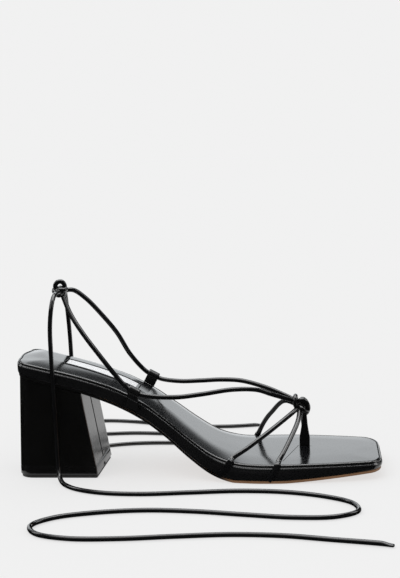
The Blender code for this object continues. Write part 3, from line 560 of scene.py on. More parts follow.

# Sole sheet: thin tan sheet under the whole forefoot and waist. Its edge is inked black along the
# waist and left tan under the forefoot, a darker tan than the face's as painted shade, and its face
# is lightly grained. The heel's base is centred on the origin, and the seat's back stands a little
# ahead of the heel's back edge.

Section = namedtuple("Section", "station rise lateral medial edge pad")
SECTIONS = (
    Section(0.000, 1.000, 0.347, 0.328, 0.96, 0.85),
    Section(0.050, 0.954, 0.346, 0.330, 0.97, 1.00),
    Section(0.101, 0.907, 0.337, 0.333, 0.99, 1.00),
    Section(0.164, 0.847, 0.326, 0.333, 1.01, 1.00),
    Section(0.227, 0.776, 0.316, 0.331, 1.06, 1.00),
    Section(0.289, 0.691, 0.312, 0.331, 1.11, 0.95),
    Section(0.352, 0.572, 0.320, 0.335, 1.13, 0.85),
    Section(0.415, 0.414, 0.343, 0.351, 1.16, 0.75),
    Section(0.477, 0.242, 0.376, 0.388, 1.27, 0.65),
    Section(0.540, 0.092, 0.418, 0.437, 1.28, 0.55),
    Section(0.603, 0.019, 0.455, 0.482, 1.25, 0.40),
    Section(0.666, 0.002, 0.476, 0.512, 1.16, 0.25),
    Section(0.728, 0.000, 0.472, 0.528, 1.16, 0.15),
    Section(0.791, 0.000, 0.454, 0.522, 1.16, 0.12),
    Section(0.854, 0.000, 0.428, 0.500, 1.16, 0.12),
    Section(0.916, 0.000, 0.394, 0.470, 1.16, 0.12),
    Section(0.967, 0.000, 0.360, 0.437, 1.16, 0.12),
    Section(1.000, 0.000, 0.335, 0.410, 1.16, 0.12),
)
SOLE_LENGTH = 0.2392
BALL_WIDTH = 0.0824
HEEL_RISE = 0.0674
FOREFOOT_HEIGHT = 0.0121
TOE_SPRING = 0.0052
SPRING_START = 0.735
SPRING_CURVE = 1.2
EDGE_HEIGHT = 0.0108
OUTSOLE_THICKNESS = 0.0018
OUTSOLE_INSET = 0.0006
SEAT_CORNER = (0.0080, 0.0120)
SEAT_BULGE = 0.0014
TOE_CORNER_LATERAL = (0.0075, 0.0105)
TOE_CORNER_MEDIAL = (0.0110, 0.0150)
HEEL_BASE_LENGTH = 0.0543
HEEL_OVERHANG = 0.0013
SEAT_BACK = HEEL_OVERHANG - HEEL_BASE_LENGTH / 2
LATERAL = -1
MEDIAL = 1
COLUMNS = 60
INK_STARTS = 0.118
INK_FULL = 0.108
INK_BLACK = (0.004, 0.0038, 0.0036)
HEEL_SEAT_ENDS = 0.030
SHEET_EDGE = ((0.0006, 0.0), (0.0002, 0.0001), (0.0, 0.0004), (0.0, OUTSOLE_THICKNESS))


def column(name, station):
    """Reads one column of the section table at any station, on a smooth curve."""
    stations = [row.station for row in SECTIONS]
    values = [getattr(row, name) for row in SECTIONS]
    k = min(max(int(np.searchsorted(stations, station)) - 1, 0), len(SECTIONS) - 2)
    slopes = np.gradient(values, stations)
    width = stations[k + 1] - stations[k]
    t = (station - stations[k]) / width
    keep = (2 * t**3 - 3 * t**2 + 1) * values[k] + (3 * t**2 - 2 * t**3) * values[k + 1]
    turn = (t**3 - 2 * t**2 + t) * slopes[k] + (t**3 - t**2) * slopes[k + 1]
    return keep + width * turn


TABLE_STATIONS = np.linspace(0, 1, 401)
TABLE = {name: np.array([column(name, s) for s in TABLE_STATIONS]) for name in Section._fields[1:]}


def read(name, station):
    return float(np.interp(station, TABLE_STATIONS, TABLE[name]))


def station_x(station):
    return SEAT_BACK + station * SOLE_LENGTH


def station_of(x):
    return (x - SEAT_BACK) / SOLE_LENGTH


def top_height(station):
    return FOREFOOT_HEIGHT + HEEL_RISE * read("rise", station)


def under_height(station):
    """Underside of the sole sheet: flat on the floor under the ball, and sprung at the toe."""
    level = max(0.0, top_height(station) - EDGE_HEIGHT * read("edge", station))
    return level + TOE_SPRING * clamp((station - SPRING_START) / (1 - SPRING_START)) ** SPRING_CURVE


def corner_cut(distance, corner):
    """How far a rounded corner draws the side in, at a distance from the sole's end."""
    along, across = corner
    if distance >= along:
        return 0.0
    return across * (1 - math.sqrt(max(0.0, 1 - (1 - distance / along) ** 2)))


def half_width(station, side):
    name = "lateral" if side == LATERAL else "medial"
    toe_corner = TOE_CORNER_LATERAL if side == LATERAL else TOE_CORNER_MEDIAL
    width = BALL_WIDTH * read(name, station)
    width -= corner_cut(max(station, 0) * SOLE_LENGTH, SEAT_CORNER)
    return width - corner_cut(max(1 - station, 0) * SOLE_LENGTH, toe_corner)


def sole_stations(count):
    def arc(reach):
        return [reach * (1 - math.cos(math.radians(a))) / SOLE_LENGTH for a in range(0, 91, 6)]

    back = arc(SEAT_CORNER[0])
    front = [1 - s for s in reversed(arc(TOE_CORNER_MEDIAL[0]))]
    return back + list(np.linspace(back[-1], front[0], count)[1:-1]) + front


STATIONS = sole_stations(150)


def outline(inset=0.0):
    """The sole's outline drawn in by an inset, as (x, y, station), lateral side first and then back."""
    points = [(station_x(s), -half_width(s, LATERAL), s) for s in STATIONS]
    shares = [k / COLUMNS for k in range(1, COLUMNS)]
    toe = [-half_width(1.0, LATERAL), half_width(1.0, MEDIAL)]
    seat = [-half_width(0.0, LATERAL), half_width(0.0, MEDIAL)]
    points += [(station_x(1.0), toe[0] + (toe[1] - toe[0]) * f, 1.0) for f in shares]
    points += [(station_x(s), half_width(s, MEDIAL), s) for s in reversed(STATIONS)]
    for f in shares:
        bulge = SEAT_BULGE * (1 - math.cos(2 * math.pi * f)) / 2
        points.append((station_x(0.0) - bulge, seat[1] + (seat[0] - seat[1]) * f, 0.0))
    moved = []
    for k, (x, y, s) in enumerate(points):
        before = points[k - 1]
        after = points[(k + 1) % len(points)]
        ahead = Vector((after[0] - before[0], after[1] - before[1])).normalized()
        moved.append((x - inset * ahead.y, y + inset * ahead.x))
    return [(x, y, clamp(station_of(x))) for x, y in moved]


def ring(inset, height, up=0.0):
    """The drawn in outline, at a height that follows the sole."""
    return [Vector((x, y, height(s) + up)) for x, y, s in outline(inset)]


def grid_rows():
    n = len(STATIONS)
    lateral = list(range(n))
    toe = list(range(n, n + COLUMNS - 1))
    medial = list(range(n + COLUMNS - 1, 2 * n + COLUMNS - 1))[::-1]
    seat = list(range(2 * n + COLUMNS - 1, 2 * n + 2 * COLUMNS - 2))[::-1]
    return lateral, toe, medial, seat


def strip_faces(start):
    lateral, toe, medial, seat = grid_rows()
    last = len(lateral) - 1
    faces = [[lateral[0], *seat, medial[0], medial[1], lateral[1]]]
    faces += [[lateral[k], medial[k], medial[k + 1], lateral[k + 1]] for k in range(1, last - 1)]
    faces.append([lateral[last - 1], medial[last - 1], medial[last], *toe[::-1], lateral[last]])
    return [[start + i for i in face] for face in faces]


def sole_layer(name, rings, paint):
    """A layer of the sole, closed below and above by strips from side to side."""
    vertices, faces = stack_of_rings(rings)
    faces += strip_faces(0) + strip_faces(len(vertices) - len(rings[-1]))
    return mesh_object(name, vertices, faces, paint)


def step_mask(tree, value, low, high):
    given = {"Value": value, "From Min": low, "From Max": high}
    ramp = add_node(tree, "ShaderNodeMapRange", given, interpolation_type="SMOOTHSTEP")
    return ramp.outputs["Result"]


def sole_leather(name, light, dark, inked):
    """Tan leather board. Where it is inked, black takes over behind the ball of the foot."""
    made, tree = new_material(name)
    grain = grained(tree, 0.0009)
    colour = mix(tree, grain["Cloud"], dark, light)
    if inked:
        x = split_place(tree, object_place(tree))["X"]
        colour = mix(tree, step_mask(tree, x, INK_STARTS, INK_FULL), colour, INK_BLACK)
    show(tree, "ShaderNodeBsdfPrincipled", {
        "Base Color": colour,
        "Roughness": scaled(tree, grain["Cloud"], 0.2, 0.42),
        "Specular IOR Level": 0.3,
        "Normal": bump(tree, grain["Height"], 0.4, 0.00006),
    })
    return made


def build_sole_sheet():
    face = sole_leather("tan_sole_face", (0.40, 0.21, 0.10), (0.28, 0.13, 0.055), inked=False)
    # The edge's tan is painted darker than the face's: painted shade on the edge of the sheet.
    edge = sole_leather("tan_sole_edge_painted_shade", (0.26, 0.135, 0.066), (0.15, 0.076, 0.036), inked=True)
    rings = [ring(OUTSOLE_INSET + inset, under_height, up) for inset, up in SHEET_EDGE]
    edge_faces = len(rings[0]) * (len(rings) - 1)
    made = sole_layer("sole_sheet", rings, face)
    made.data.materials.append(edge)
    for polygon in made.data.polygons:
        over_heel = polygon.center.x < HEEL_SEAT_ENDS
        polygon.material_index = 1 if polygon.index < edge_faces or over_heel else 0
    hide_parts("outsole")


build_sole_sheet()

# Side wrap: black satin leather stretched round the insole board, which shows as the tall side band.
# Near its top edge a stitched groove parts it from the rolled rim.

GAP = 0.0003
RIM_WIDTH = 0.0014
INSOLE_THICKNESS = 0.0016
WALL_BULGE = 0.0002
GROOVE_DOWN = 0.0014
GROOVE_DEPTH = 0.00080
# Each profile pairs an inset with a height: up from the sole sheet, under the groove's middle, and
# under the top edge.
WRAP_FOOT = ((0.00070, 0.0), (0.00020, 0.00015), (0.00002, 0.00055), (-WALL_BULGE * 0.7, 0.0018))
WRAP_GROOVE = (
    (-WALL_BULGE, 0.00190), (-WALL_BULGE, 0.00130), (-0.00005, 0.00100), (0.00030, 0.00062),
    (0.00068, 0.00024), (GROOVE_DEPTH, 0.00006), (GROOVE_DEPTH, -0.00006), (0.00060, -0.00022),
)
WRAP_RIM = (
    (0.00045, 0.00080), (0.00050, 0.00048), (0.00066, 0.00018), (0.00088, 0.0), (0.00110, 0.00010),
    (0.00128, 0.00042), (RIM_WIDTH, 0.0009),
)
STITCH_PITCH = 0.00145
STITCH_LENGTH = 0.00095
STITCH_WIDTH = 0.00030
STITCH_INSET = 0.00022
STITCH_DOWN = 0.00055
STITCH_LOOK_AHEAD = 0.0001
STITCH_ARCH = ((-0.5, -0.35), (-0.25, 0.45), (0.25, 0.45), (0.5, -0.35))
THREAD_DARK = (0.035, 0.036, 0.038)
THREAD_LIGHT = (0.085, 0.088, 0.092)


def satin_finish(name, dark, light, rough, cell, depth, specular):
    made, tree = new_material(name)
    grain = grained(tree, cell)
    show(tree, "ShaderNodeBsdfPrincipled", {
        "Base Color": mix(tree, grain["Cloud"], dark, light),
        "Roughness": scaled(tree, grain["Cloud"], 0.16, rough - 0.08),
        "Specular IOR Level": specular,
        "Normal": bump(tree, grain["Height"], 0.5, depth),
    })
    return made


WRAP_LEATHER = satin_finish(
    "wrap_leather", (0.0030, 0.0030, 0.0032), (0.0062, 0.0064, 0.0068),
    rough=0.20, cell=0.0006, depth=0.00004, specular=0.85,
)


def recess_height(station):
    return top_height(station) - INSOLE_THICKNESS - GAP


def wrap_base(station):
    return under_height(station) + OUTSOLE_THICKNESS + GAP


def wrap_middle(station):
    return (wrap_base(station) + top_height(station)) / 2


def build_side_wrap():
    rings = [ring(inset, wrap_base, up) for inset, up in WRAP_FOOT]
    rings.append(ring(-WALL_BULGE, wrap_middle))
    rings += [ring(inset, top_height, -GROOVE_DOWN - down) for inset, down in WRAP_GROOVE]
    rings += [ring(inset, top_height, -down) for inset, down in WRAP_RIM]
    rings.append(ring(RIM_WIDTH, recess_height))
    made = sole_layer("side_wrap", rings, WRAP_LEATHER)
    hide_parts("midsole")


build_side_wrap()


def walk(points, pitch):
    """Equally spaced (place, way ahead, level way out) round a closed line."""
    closed = points + [points[0]]
    lengths = running_lengths(closed)
    count = int(lengths[-1] / pitch)
    at = [lengths[-1] * k / count for k in range(count)]
    beyond = np.add(at, STITCH_LOOK_AHEAD)
    spots = []
    for p, q in zip(places_along(closed, lengths, at), places_along(closed, lengths, beyond)):
        ahead = (q - p).normalized()
        spots.append((p, ahead, Vector((ahead.y, -ahead.x, 0)).normalized()))
    return spots


def thread_material():
    made, tree = new_material("rim_thread")
    place = object_place(tree)
    twist = add_node(tree, "ShaderNodeTexWave", {"Vector": place, "Scale": 900.0, "Distortion": 0.5})
    show(tree, "ShaderNodeBsdfPrincipled", {
        "Base Color": mix(tree, twist.outputs["Fac"], THREAD_DARK, THREAD_LIGHT),
        "Roughness": 0.45,
    })
    return made


THREAD = thread_material()


def stitch_row(name, spots, length, width):
    """One mesh of short threads, each a small arched bar along the row."""
    vertices, faces = [], []
    for spot, ahead, out in spots:
        across = ahead.cross(out)
        rings = []
        for share, rise in STITCH_ARCH:
            middle = spot + ahead * (length * share) + out * (width * rise)
            turns = [math.radians(a) for a in range(0, 360, 60)]
            rings.append([
                middle + (across * math.cos(a) + out * math.sin(a)) * (width / 2) for a in turns
            ])
        bar, bar_faces = stack_of_rings(rings, closed=True)
        faces += [[len(vertices) + i for i in face] for face in bar_faces]
        vertices += bar
    made = mesh_object(name, vertices, faces, THREAD)


rim_line = ring(STITCH_INSET, top_height, -GROOVE_DOWN - STITCH_DOWN)
stitch_row("rim_stitches", walk(rim_line, STITCH_PITCH), STITCH_LENGTH, STITCH_WIDTH)

# Footbed: padded glossy black lining with a rolled edge. It swells over the heel and the waist, more
# steeply on its inner side, and it is cut from the outer edge to the toe post, which passes through.

INSOLE_ROLL = 0.0009
ROLL_DROP = 0.9
ROLL_ANGLES = (25, 50, 70, 90)
PAD_CROWN = 0.0023
PAD_REACH_NEAR = 0.0210
PAD_REACH_FAR = 0.0100
PAD_BLEND = 0.0100
PAD_UNEVEN = 0.00010
PAD_WAVES = (30, 40)
PAD_WAVE_LEVEL = 3.1
SLIT_LINE = (Vector((0.1492, -0.0291)), Vector((0.1588, 0.0115)), Vector((0.1679, 0.0097)))
SLIT_WIDTH = 0.00032
# Colour of the cut: near black painted shade.
SLIT_PAINTED_SHADE = (0.0015, 0.0015, 0.0015)
FOOTBED_DARK = (0.0040, 0.0042, 0.0048)
FOOTBED_LIGHT = (0.0090, 0.0095, 0.0110)

EDGE_LINE = np.array([(x, y) for x, y, _ in outline()])
EDGE_RUNS = np.roll(EDGE_LINE, -1, axis=0) - EDGE_LINE
EDGE_LENGTHS = np.maximum((EDGE_RUNS**2).sum(axis=1), 1e-12)


def edge_distance(x, y):
    """How far a place on the footbed lies from the sole's outline."""
    to_place = np.array((x, y)) - EDGE_LINE
    share = np.clip((to_place * EDGE_RUNS).sum(axis=1) / EDGE_LENGTHS, 0, 1)
    away = to_place - EDGE_RUNS * share[:, None]
    return float(np.sqrt((away**2).sum(axis=1).min()))


def footbed_height(x, y):
    """Top of the footbed: rolled at its edge, raised by its padding inside it, and a little uneven."""
    station = clamp(station_of(x))
    from_edge = edge_distance(x, y) - RIM_WIDTH - GAP
    if from_edge < INSOLE_ROLL:
        t = 1 - max(from_edge, 0.0) / INSOLE_ROLL
        return top_height(station) - INSOLE_ROLL * (1 - math.sqrt(max(0.0, 1 - t * t))) * ROLL_DROP
    far = ease(0.5 + y / (2 * PAD_BLEND))
    reach = PAD_REACH_NEAR + (PAD_REACH_FAR - PAD_REACH_NEAR) * far
    t = min((from_edge - INSOLE_ROLL) / reach, 1.0)
    rise = t * (1.5 - 0.5 * t * t)
    height = top_height(station) + PAD_CROWN * read("pad", station) * rise
    wave = noise.noise(Vector((x * PAD_WAVES[0], y * PAD_WAVES[1], PAD_WAVE_LEVEL)))
    return height + PAD_UNEVEN * rise * wave


def grid_faces(closed_ring, start, vertices):
    """A grid across a ring. Its inner places are new ones, at the footbed's height."""
    lateral, toe, medial, seat = grid_rows()
    rows = []
    last = len(lateral) - 1
    for k in range(last + 1):
        a, b = closed_ring[lateral[k]], closed_ring[medial[k]]
        if k == 0:
            inner = [start + i for i in seat]
        elif k == last:
            inner = [start + i for i in toe]
        else:
            inner = []
            for c in range(1, COLUMNS):
                p = a.lerp(b, c / COLUMNS)
                inner.append(len(vertices))
                vertices.append(Vector((p.x, p.y, footbed_height(p.x, p.y))))
        rows.append([start + lateral[k], *inner, start + medial[k]])
    return [
        [rows[k][c], rows[k][c + 1], rows[k + 1][c + 1], rows[k + 1][c]]
        for k in range(last)
        for c in range(COLUMNS)
    ]


def line_mask(tree, place, start, stop, width):
    """White within a width of the straight line between two places on the footbed."""
    line = stop - start
    ahead = line.normalized()
    split = split_place(tree, place)
    dx = maths(tree, "SUBTRACT", split["X"], start.x)
    dy = maths(tree, "SUBTRACT", split["Y"], start.y)
    along = scaled(tree, dy, ahead.y, maths(tree, "MULTIPLY", dx, ahead.x))
    across = scaled(tree, dy, ahead.x, maths(tree, "MULTIPLY", dx, -ahead.y))
    side = step_mask(tree, maths(tree, "ABSOLUTE", across), width, width * 0.4)
    after = maths(tree, "GREATER_THAN", along, 0.0)
    before = maths(tree, "LESS_THAN", along, line.length)
    return maths(tree, "MULTIPLY", side, maths(tree, "MULTIPLY", after, before))


def footbed_leather():
    made, tree = new_material("footbed_leather")
    grain = grained(tree, 0.0006)
    place = object_place(tree)
    marks = [line_mask(tree, place, a, b, SLIT_WIDTH) for a, b in zip(SLIT_LINE, SLIT_LINE[1:])]
    # The cut: the bump sinks it, and its near black colour is painted shade inside the cut.
    slit_and_shade = maths(tree, "MAXIMUM", *marks)
    leather = mix(tree, grain["Cloud"], FOOTBED_DARK, FOOTBED_LIGHT)
    rough = scaled(tree, grain["Cloud"], 0.05, 0.12)
    height = scaled(tree, speckle(tree, place, 60.0, 3.0), 1.0, grain["Height"])
    height = scaled(tree, slit_and_shade, -12.0, height)
    show(tree, "ShaderNodeBsdfPrincipled", {
        "Base Color": mix(tree, slit_and_shade, leather, SLIT_PAINTED_SHADE),
        "Roughness": scaled(tree, slit_and_shade, 0.6, rough, limited=True),
        "Specular IOR Level": 0.5,
        "Coat Weight": 0.20,
        "Coat Roughness": 0.16,
        "Normal": bump(tree, height, 0.5, 0.000016),
    })
    return made


def build_footbed():
    edge = RIM_WIDTH + GAP
    rings = [ring(edge, recess_height, GAP), ring(edge, top_height, -INSOLE_ROLL)]
    for angle in ROLL_ANGLES:
        a = math.radians(angle)
        down = ROLL_DROP * INSOLE_ROLL * (1 - math.sin(a))
        rings.append(ring(edge + INSOLE_ROLL * (1 - math.cos(a)), top_height, -down))
    vertices, faces = stack_of_rings(rings)
    faces += strip_faces(0)
    faces += grid_faces(rings[-1], len(vertices) - len(rings[-1]), vertices)
    made = mesh_object("footbed", vertices, faces, footbed_leather(), sharp=math.radians(60))
    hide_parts("insole")


build_footbed()

# Label patch: a thin smooth patch glued to the middle of the seat, white inside a black frame. The
# frame is dull, its margin at the two ends is glossy, and the patch carries no words.

PATCH_LENGTH = (0.0022, 0.0530)
PATCH_WIDTH = (-0.0092, 0.0082)
PATCH_SIDE_LINE = 0.0032
PATCH_END_LINE = 0.0008
PATCH_MARGIN = 0.0022
PATCH_THICKNESS = 0.00012
PATCH_LIFT = 0.00002
PATCH_ROWS = 56
PATCH_COLUMNS = 18
PATCH_WHITES = ((0.80, 0.81, 0.83), (0.90, 0.90, 0.91))
PATCH_INK = (0.0050, 0.0052, 0.0058)


def patch_material():
    made, tree = new_material("blank_patch")
    place = object_place(tree)
    split = split_place(tree, place)
    inside = []
    for axis, (low, high) in (("X", PATCH_LENGTH), ("Y", PATCH_WIDTH)):
        away = maths(tree, "ABSOLUTE", maths(tree, "SUBTRACT", split[axis], (low + high) / 2))
        inside.append(maths(tree, "SUBTRACT", (high - low) / 2, away))
    side_line = step_mask(tree, inside[1], PATCH_SIDE_LINE, PATCH_SIDE_LINE * 0.8)
    end_line = step_mask(tree, inside[0], PATCH_END_LINE, PATCH_END_LINE * 0.8)
    margin = step_mask(tree, inside[0], PATCH_MARGIN, PATCH_MARGIN * 0.95)
    frame_line = maths(tree, "MAXIMUM", side_line, end_line)
    line = maths(tree, "MAXIMUM", frame_line, margin)
    dull = scaled(tree, frame_line, 0.5, 0.12)
    fibres = speckle(tree, place, 900.0, 3.0)
    show(tree, "ShaderNodeBsdfPrincipled", {
        "Base Color": mix(tree, line, mix(tree, fibres, *PATCH_WHITES), PATCH_INK),
        "Roughness": scaled(tree, maths(tree, "SUBTRACT", 1.0, line), 0.23, dull),
        "Specular IOR Level": scaled(tree, frame_line, -0.45, 0.5),
        "Normal": bump(tree, fibres, 0.25, 0.00003),
    })
    return made


def build_patch():
    along, across = PATCH_ROWS, PATCH_COLUMNS
    vertices, faces = [], []
    for lift in (0.0, PATCH_THICKNESS):
        for x in np.linspace(*PATCH_LENGTH, along + 1):
            for y in np.linspace(*PATCH_WIDTH, across + 1):
                vertices.append(Vector((x, y, footbed_height(x, y) + lift + PATCH_LIFT)))
    row = across + 1
    sheet = row * (along + 1)
    for top in (0, sheet):
        for i in range(along):
            for j in range(across):
                a = top + i * row + j
                faces.append([a, a + 1, a + row + 1, a + row])
    rim = list(range(across + 1))
    rim += [i * row + across for i in range(1, along + 1)]
    rim += [along * row + j for j in range(across - 1, -1, -1)]
    rim += [i * row for i in range(along - 1, 0, -1)]
    for a, b in zip(rim, rim[1:] + rim[:1]):
        faces.append([a, b, b + sheet, a + sheet])
    made = mesh_object("blank_patch", vertices, faces, patch_material(), sharp=math.radians(40))


build_patch()

# Heel: a moulded block covered in black leather that meets in a seam down the breast. The lower end
# is a separate cap with a small notch, on a thin dark rubber wearing piece.

HEEL_WIDTH = 0.0526
HEEL_TOP_LENGTH = 0.0400
HEEL_TOP_SETBACK = 0.0010
HEEL_CORNER = 0.0090
HEEL_EDGE = 0.0010
HEEL_BACK_STEPS = 5
HEEL_SIDE_STEPS = 14
HEEL_BREAST_STEPS = 10
HEEL_TOP_ROUNDS = 12
COVER_LEVELS = 24
COVER_LOW_LEVEL = 0.004
BREAST_FACING = 0.7
COVER_EDGE = 0.00012
CAP_HEIGHT = 0.0075
CAP_EDGE = 0.00042
TOP_PIECE_HEIGHT = 0.0017
TOP_PIECE_INSET = 0.0008
TOP_PIECE_EDGE = ((0.0003, 0.0), (0.0001, 0.0001), (0.0, 0.0004), (0.0, TOP_PIECE_HEIGHT))
NOTCH_WIDTH = 0.0050
NOTCH_HEIGHT = 0.0022
NOTCH_DEPTH = 0.0025
NOTCH_ARCH = 0.45
NOTCH_BELOW = 0.002
SEAM_WIDTH = 0.0012
SEAM_DEPTH = 0.0020
SEAM_TAPER = 0.6
HEEL_DARK = (0.0018, 0.0018, 0.0017)
HEEL_LIGHT = (0.0040, 0.0040, 0.0038)
BRUSH_STRETCH = (1600.0, 1600.0, 60.0)
RUBBER_DARK = (0.0035, 0.0030, 0.0028)
RUBBER_LIGHT = (0.0080, 0.0062, 0.0052)


def heel_face(height, low, high):
    return low + (high - low) * height / under_height(0.0)


def heel_breast(height, inset=0.0):
    low = SEAT_BACK - HEEL_OVERHANG + HEEL_BASE_LENGTH
    return heel_face(height, low, SEAT_BACK + HEEL_TOP_SETBACK + HEEL_TOP_LENGTH) - inset


def heel_outline(height, inset=0.0):
    """Half the heel's plan at one height: rounded back corner, crisp front one, up to the seam."""
    back = heel_face(height, SEAT_BACK - HEEL_OVERHANG, SEAT_BACK + HEEL_TOP_SETBACK) + inset
    breast = heel_breast(height, inset)
    half = HEEL_WIDTH / 2 - inset
    pairs = [(back, (half - HEEL_CORNER) * k / HEEL_BACK_STEPS) for k in range(HEEL_BACK_STEPS)]
    for angle in range(0, 91, 9):
        a = math.radians(angle)
        pairs.append((back + HEEL_CORNER * (1 - math.cos(a)), half - HEEL_CORNER * (1 - math.sin(a))))
    start = pairs[-1][0]
    stop = breast - HEEL_EDGE
    pairs += [(x, half) for x in np.linspace(start, stop, HEEL_SIDE_STEPS + 1)[1:]]
    for angle in (30, 60, 90):
        a = math.radians(angle)
        pairs.append((stop + HEEL_EDGE * math.sin(a), half - HEEL_EDGE * (1 - math.cos(a))))
    across = np.linspace(half - HEEL_EDGE, SEAM_WIDTH, HEEL_BREAST_STEPS + 1)[1:]
    return pairs + [(breast, y) for y in across]


def seamed_ring(half, breast):
    """Closes half a plan over the seam, whose bottom lies at the given breast, and mirrors it."""
    height = half[-1][2]
    half = half + [(breast, SEAM_WIDTH * SEAM_TAPER, height), (breast, 0.0, height)]
    side = [Vector((x, -y, z)) for x, y, z in half]
    return side + [Vector((x, y, z)) for x, y, z in reversed(half[1:-1])]


def heel_ring(height, inset=0.0, seam=0.0):
    half = [(x, y, height) for x, y in heel_outline(height, inset)]
    return seamed_ring(half, heel_breast(height, inset) - seam)


def heel_top_ring(seam):
    """The heel's top follows the sloping sole. Each place on it is found in a few rounds."""
    half = []
    for index in range(len(heel_outline(0.0))):
        height = under_height(0.1)
        for _ in range(HEEL_TOP_ROUNDS):
            x, y = heel_outline(height)[index]
            height = under_height(clamp(station_of(x))) - GAP
        half.append((x, y, height))
    return seamed_ring(half, heel_breast(height) - seam)


def fill_ring(count, start):
    """Strips from side to side close a heel ring, whose ends are at the middle of back and breast."""
    faces = [[start, start + 1, start + count - 1]]
    k = 1
    while k + 1 < count - k - 1:
        faces.append([start + k, start + k + 1, start + count - k - 1, start + count - k])
        k += 1
    if k + 1 == count - k - 1:
        faces.append([start + k, start + k + 1, start + count - k])
    return faces


def heel_layer(name, rings, paint, sharp):
    vertices, faces = stack_of_rings(rings)
    n = len(rings[0])
    faces += fill_ring(n, 0) + fill_ring(n, len(vertices) - n)
    return mesh_object(name, vertices, faces, paint, sharp=math.radians(sharp))


def heel_leather(name, rough):
    """The cover is pulled tight and brushed downwards. The breast has a softer gloss than the sides."""
    made, tree = new_material(name)
    grain = grained(tree, 0.0007)
    place = object_place(tree)
    brushed = speckle(tree, stretched(tree, place, BRUSH_STRETCH), 1.0, 2.0)
    gloss = scaled(tree, brushed, 0.12, rough - 0.04)
    height = scaled(tree, brushed, 1.2, grain["Height"])
    show(tree, "ShaderNodeBsdfPrincipled", {
        "Base Color": mix(tree, grain["Cloud"], HEEL_DARK, HEEL_LIGHT),
        "Roughness": scaled(tree, grain["Cloud"], 0.08, gloss),
        "Specular IOR Level": 0.75,
        "Normal": bump(tree, height, 0.35, 0.00003),
    })
    return made


def build_heel_cover():
    low = heel_ring(CAP_HEIGHT + GAP, seam=SEAM_DEPTH)
    high = heel_top_ring(SEAM_DEPTH)
    rings = [heel_ring(CAP_HEIGHT + GAP, inset=COVER_EDGE, seam=SEAM_DEPTH)]
    for share in [0.0, COVER_LOW_LEVEL] + [k / COVER_LEVELS for k in range(1, COVER_LEVELS + 1)]:
        lift = Vector((0, 0, COVER_EDGE if share == 0.0 else 0.0))
        rings.append([a.lerp(b, share) + lift for a, b in zip(low, high)])
    made = heel_layer("heel_cover", rings, heel_leather("heel_leather", 0.17), sharp=55)
    made.data.materials.append(heel_leather("breast_leather", 0.19))
    for polygon in made.data.polygons:
        polygon.material_index = 1 if polygon.normal.x > BREAST_FACING else 0
    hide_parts("heel_block")


def notch_cutter(bottom):
    half = NOTCH_WIDTH / 2
    arch = half * NOTCH_ARCH
    profile = []
    for angle in range(0, 181, 20):
        a = math.radians(angle)
        profile.append((half * math.cos(a), NOTCH_HEIGHT - arch + arch * math.sin(a)))
    profile += [(-half, -NOTCH_BELOW), (half, -NOTCH_BELOW)]
    ends = (heel_breast(bottom) - NOTCH_DEPTH, heel_breast(bottom) + NOTCH_DEPTH)
    rings = [[(x, y, bottom + z) for y, z in profile] for x in ends]
    vertices, faces = stack_of_rings(rings, closed=True)
    return add_object("notch", outward_mesh("notch", vertices, faces))


def cut_away(target, tool):
    """Cuts one mesh from another for good, and removes the tool."""
    step = target.modifiers.new("cut", "BOOLEAN")
    step.operation = "DIFFERENCE"
    step.object = tool
    step.solver = "EXACT"
    bpy.context.view_layer.update()
    shape = bpy.data.meshes.new_from_object(target.evaluated_get(bpy.context.evaluated_depsgraph_get()))
    target.modifiers.clear()
    target.data = shape
    bpy.data.objects.remove(tool, do_unlink=True)


def build_heel_lower():
    bottom = TOP_PIECE_HEIGHT + GAP
    slight = CAP_EDGE * 0.3
    rings = [
        heel_ring(bottom, CAP_EDGE),
        heel_ring(bottom + slight, slight),
        heel_ring(bottom + CAP_EDGE),
        heel_ring((bottom + CAP_HEIGHT) / 2),
        heel_ring(CAP_HEIGHT - CAP_EDGE),
        heel_ring(CAP_HEIGHT - slight, slight),
        heel_ring(CAP_HEIGHT, CAP_EDGE),
    ]
    paint = satin_finish(
        "heel_cap_plastic", (0.0025, 0.0025, 0.0025), (0.0050, 0.0050, 0.0050),
        rough=0.22, cell=0.0005, depth=0.00002, specular=0.50,
    )
    made = heel_layer("heel_lower", rings, paint, sharp=55)
    cut_away(made, notch_cutter(bottom))
    made.data.shade_smooth()
    made.data.set_sharp_from_angle(angle=math.radians(40))
    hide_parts("heel_cap")


def rubber_material():
    made, tree = new_material("wearing_rubber")
    place = object_place(tree)
    speck = speckle(tree, place, 1500.0, 4.0)
    wave = {"Vector": place, "Scale": 110.0}
    ribs = add_node(tree, "ShaderNodeTexWave", wave, bands_direction="DIAGONAL").outputs["Fac"]
    show(tree, "ShaderNodeBsdfPrincipled", {
        "Base Color": mix(tree, speck, RUBBER_DARK, RUBBER_LIGHT),
        "Roughness": 0.62,
        "Normal": bump(tree, scaled(tree, ribs, 2.0, speck), 0.5, 0.0001),
    })
    return made


def build_top_lift():
    rings = [heel_ring(height, TOP_PIECE_INSET + inset) for inset, height in TOP_PIECE_EDGE]
    made = heel_layer("top_lift", rings, rubber_material(), sharp=50)
    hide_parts("top_piece")


build_heel_cover()
build_heel_lower()
build_top_lift()

# Strands: round straps over the toes, tied over the toe post, and the laces that run back from that
# knot through the side loops and up to the knot behind the ankle. Each strap end is pressed flat and
# runs down the side of the sole.

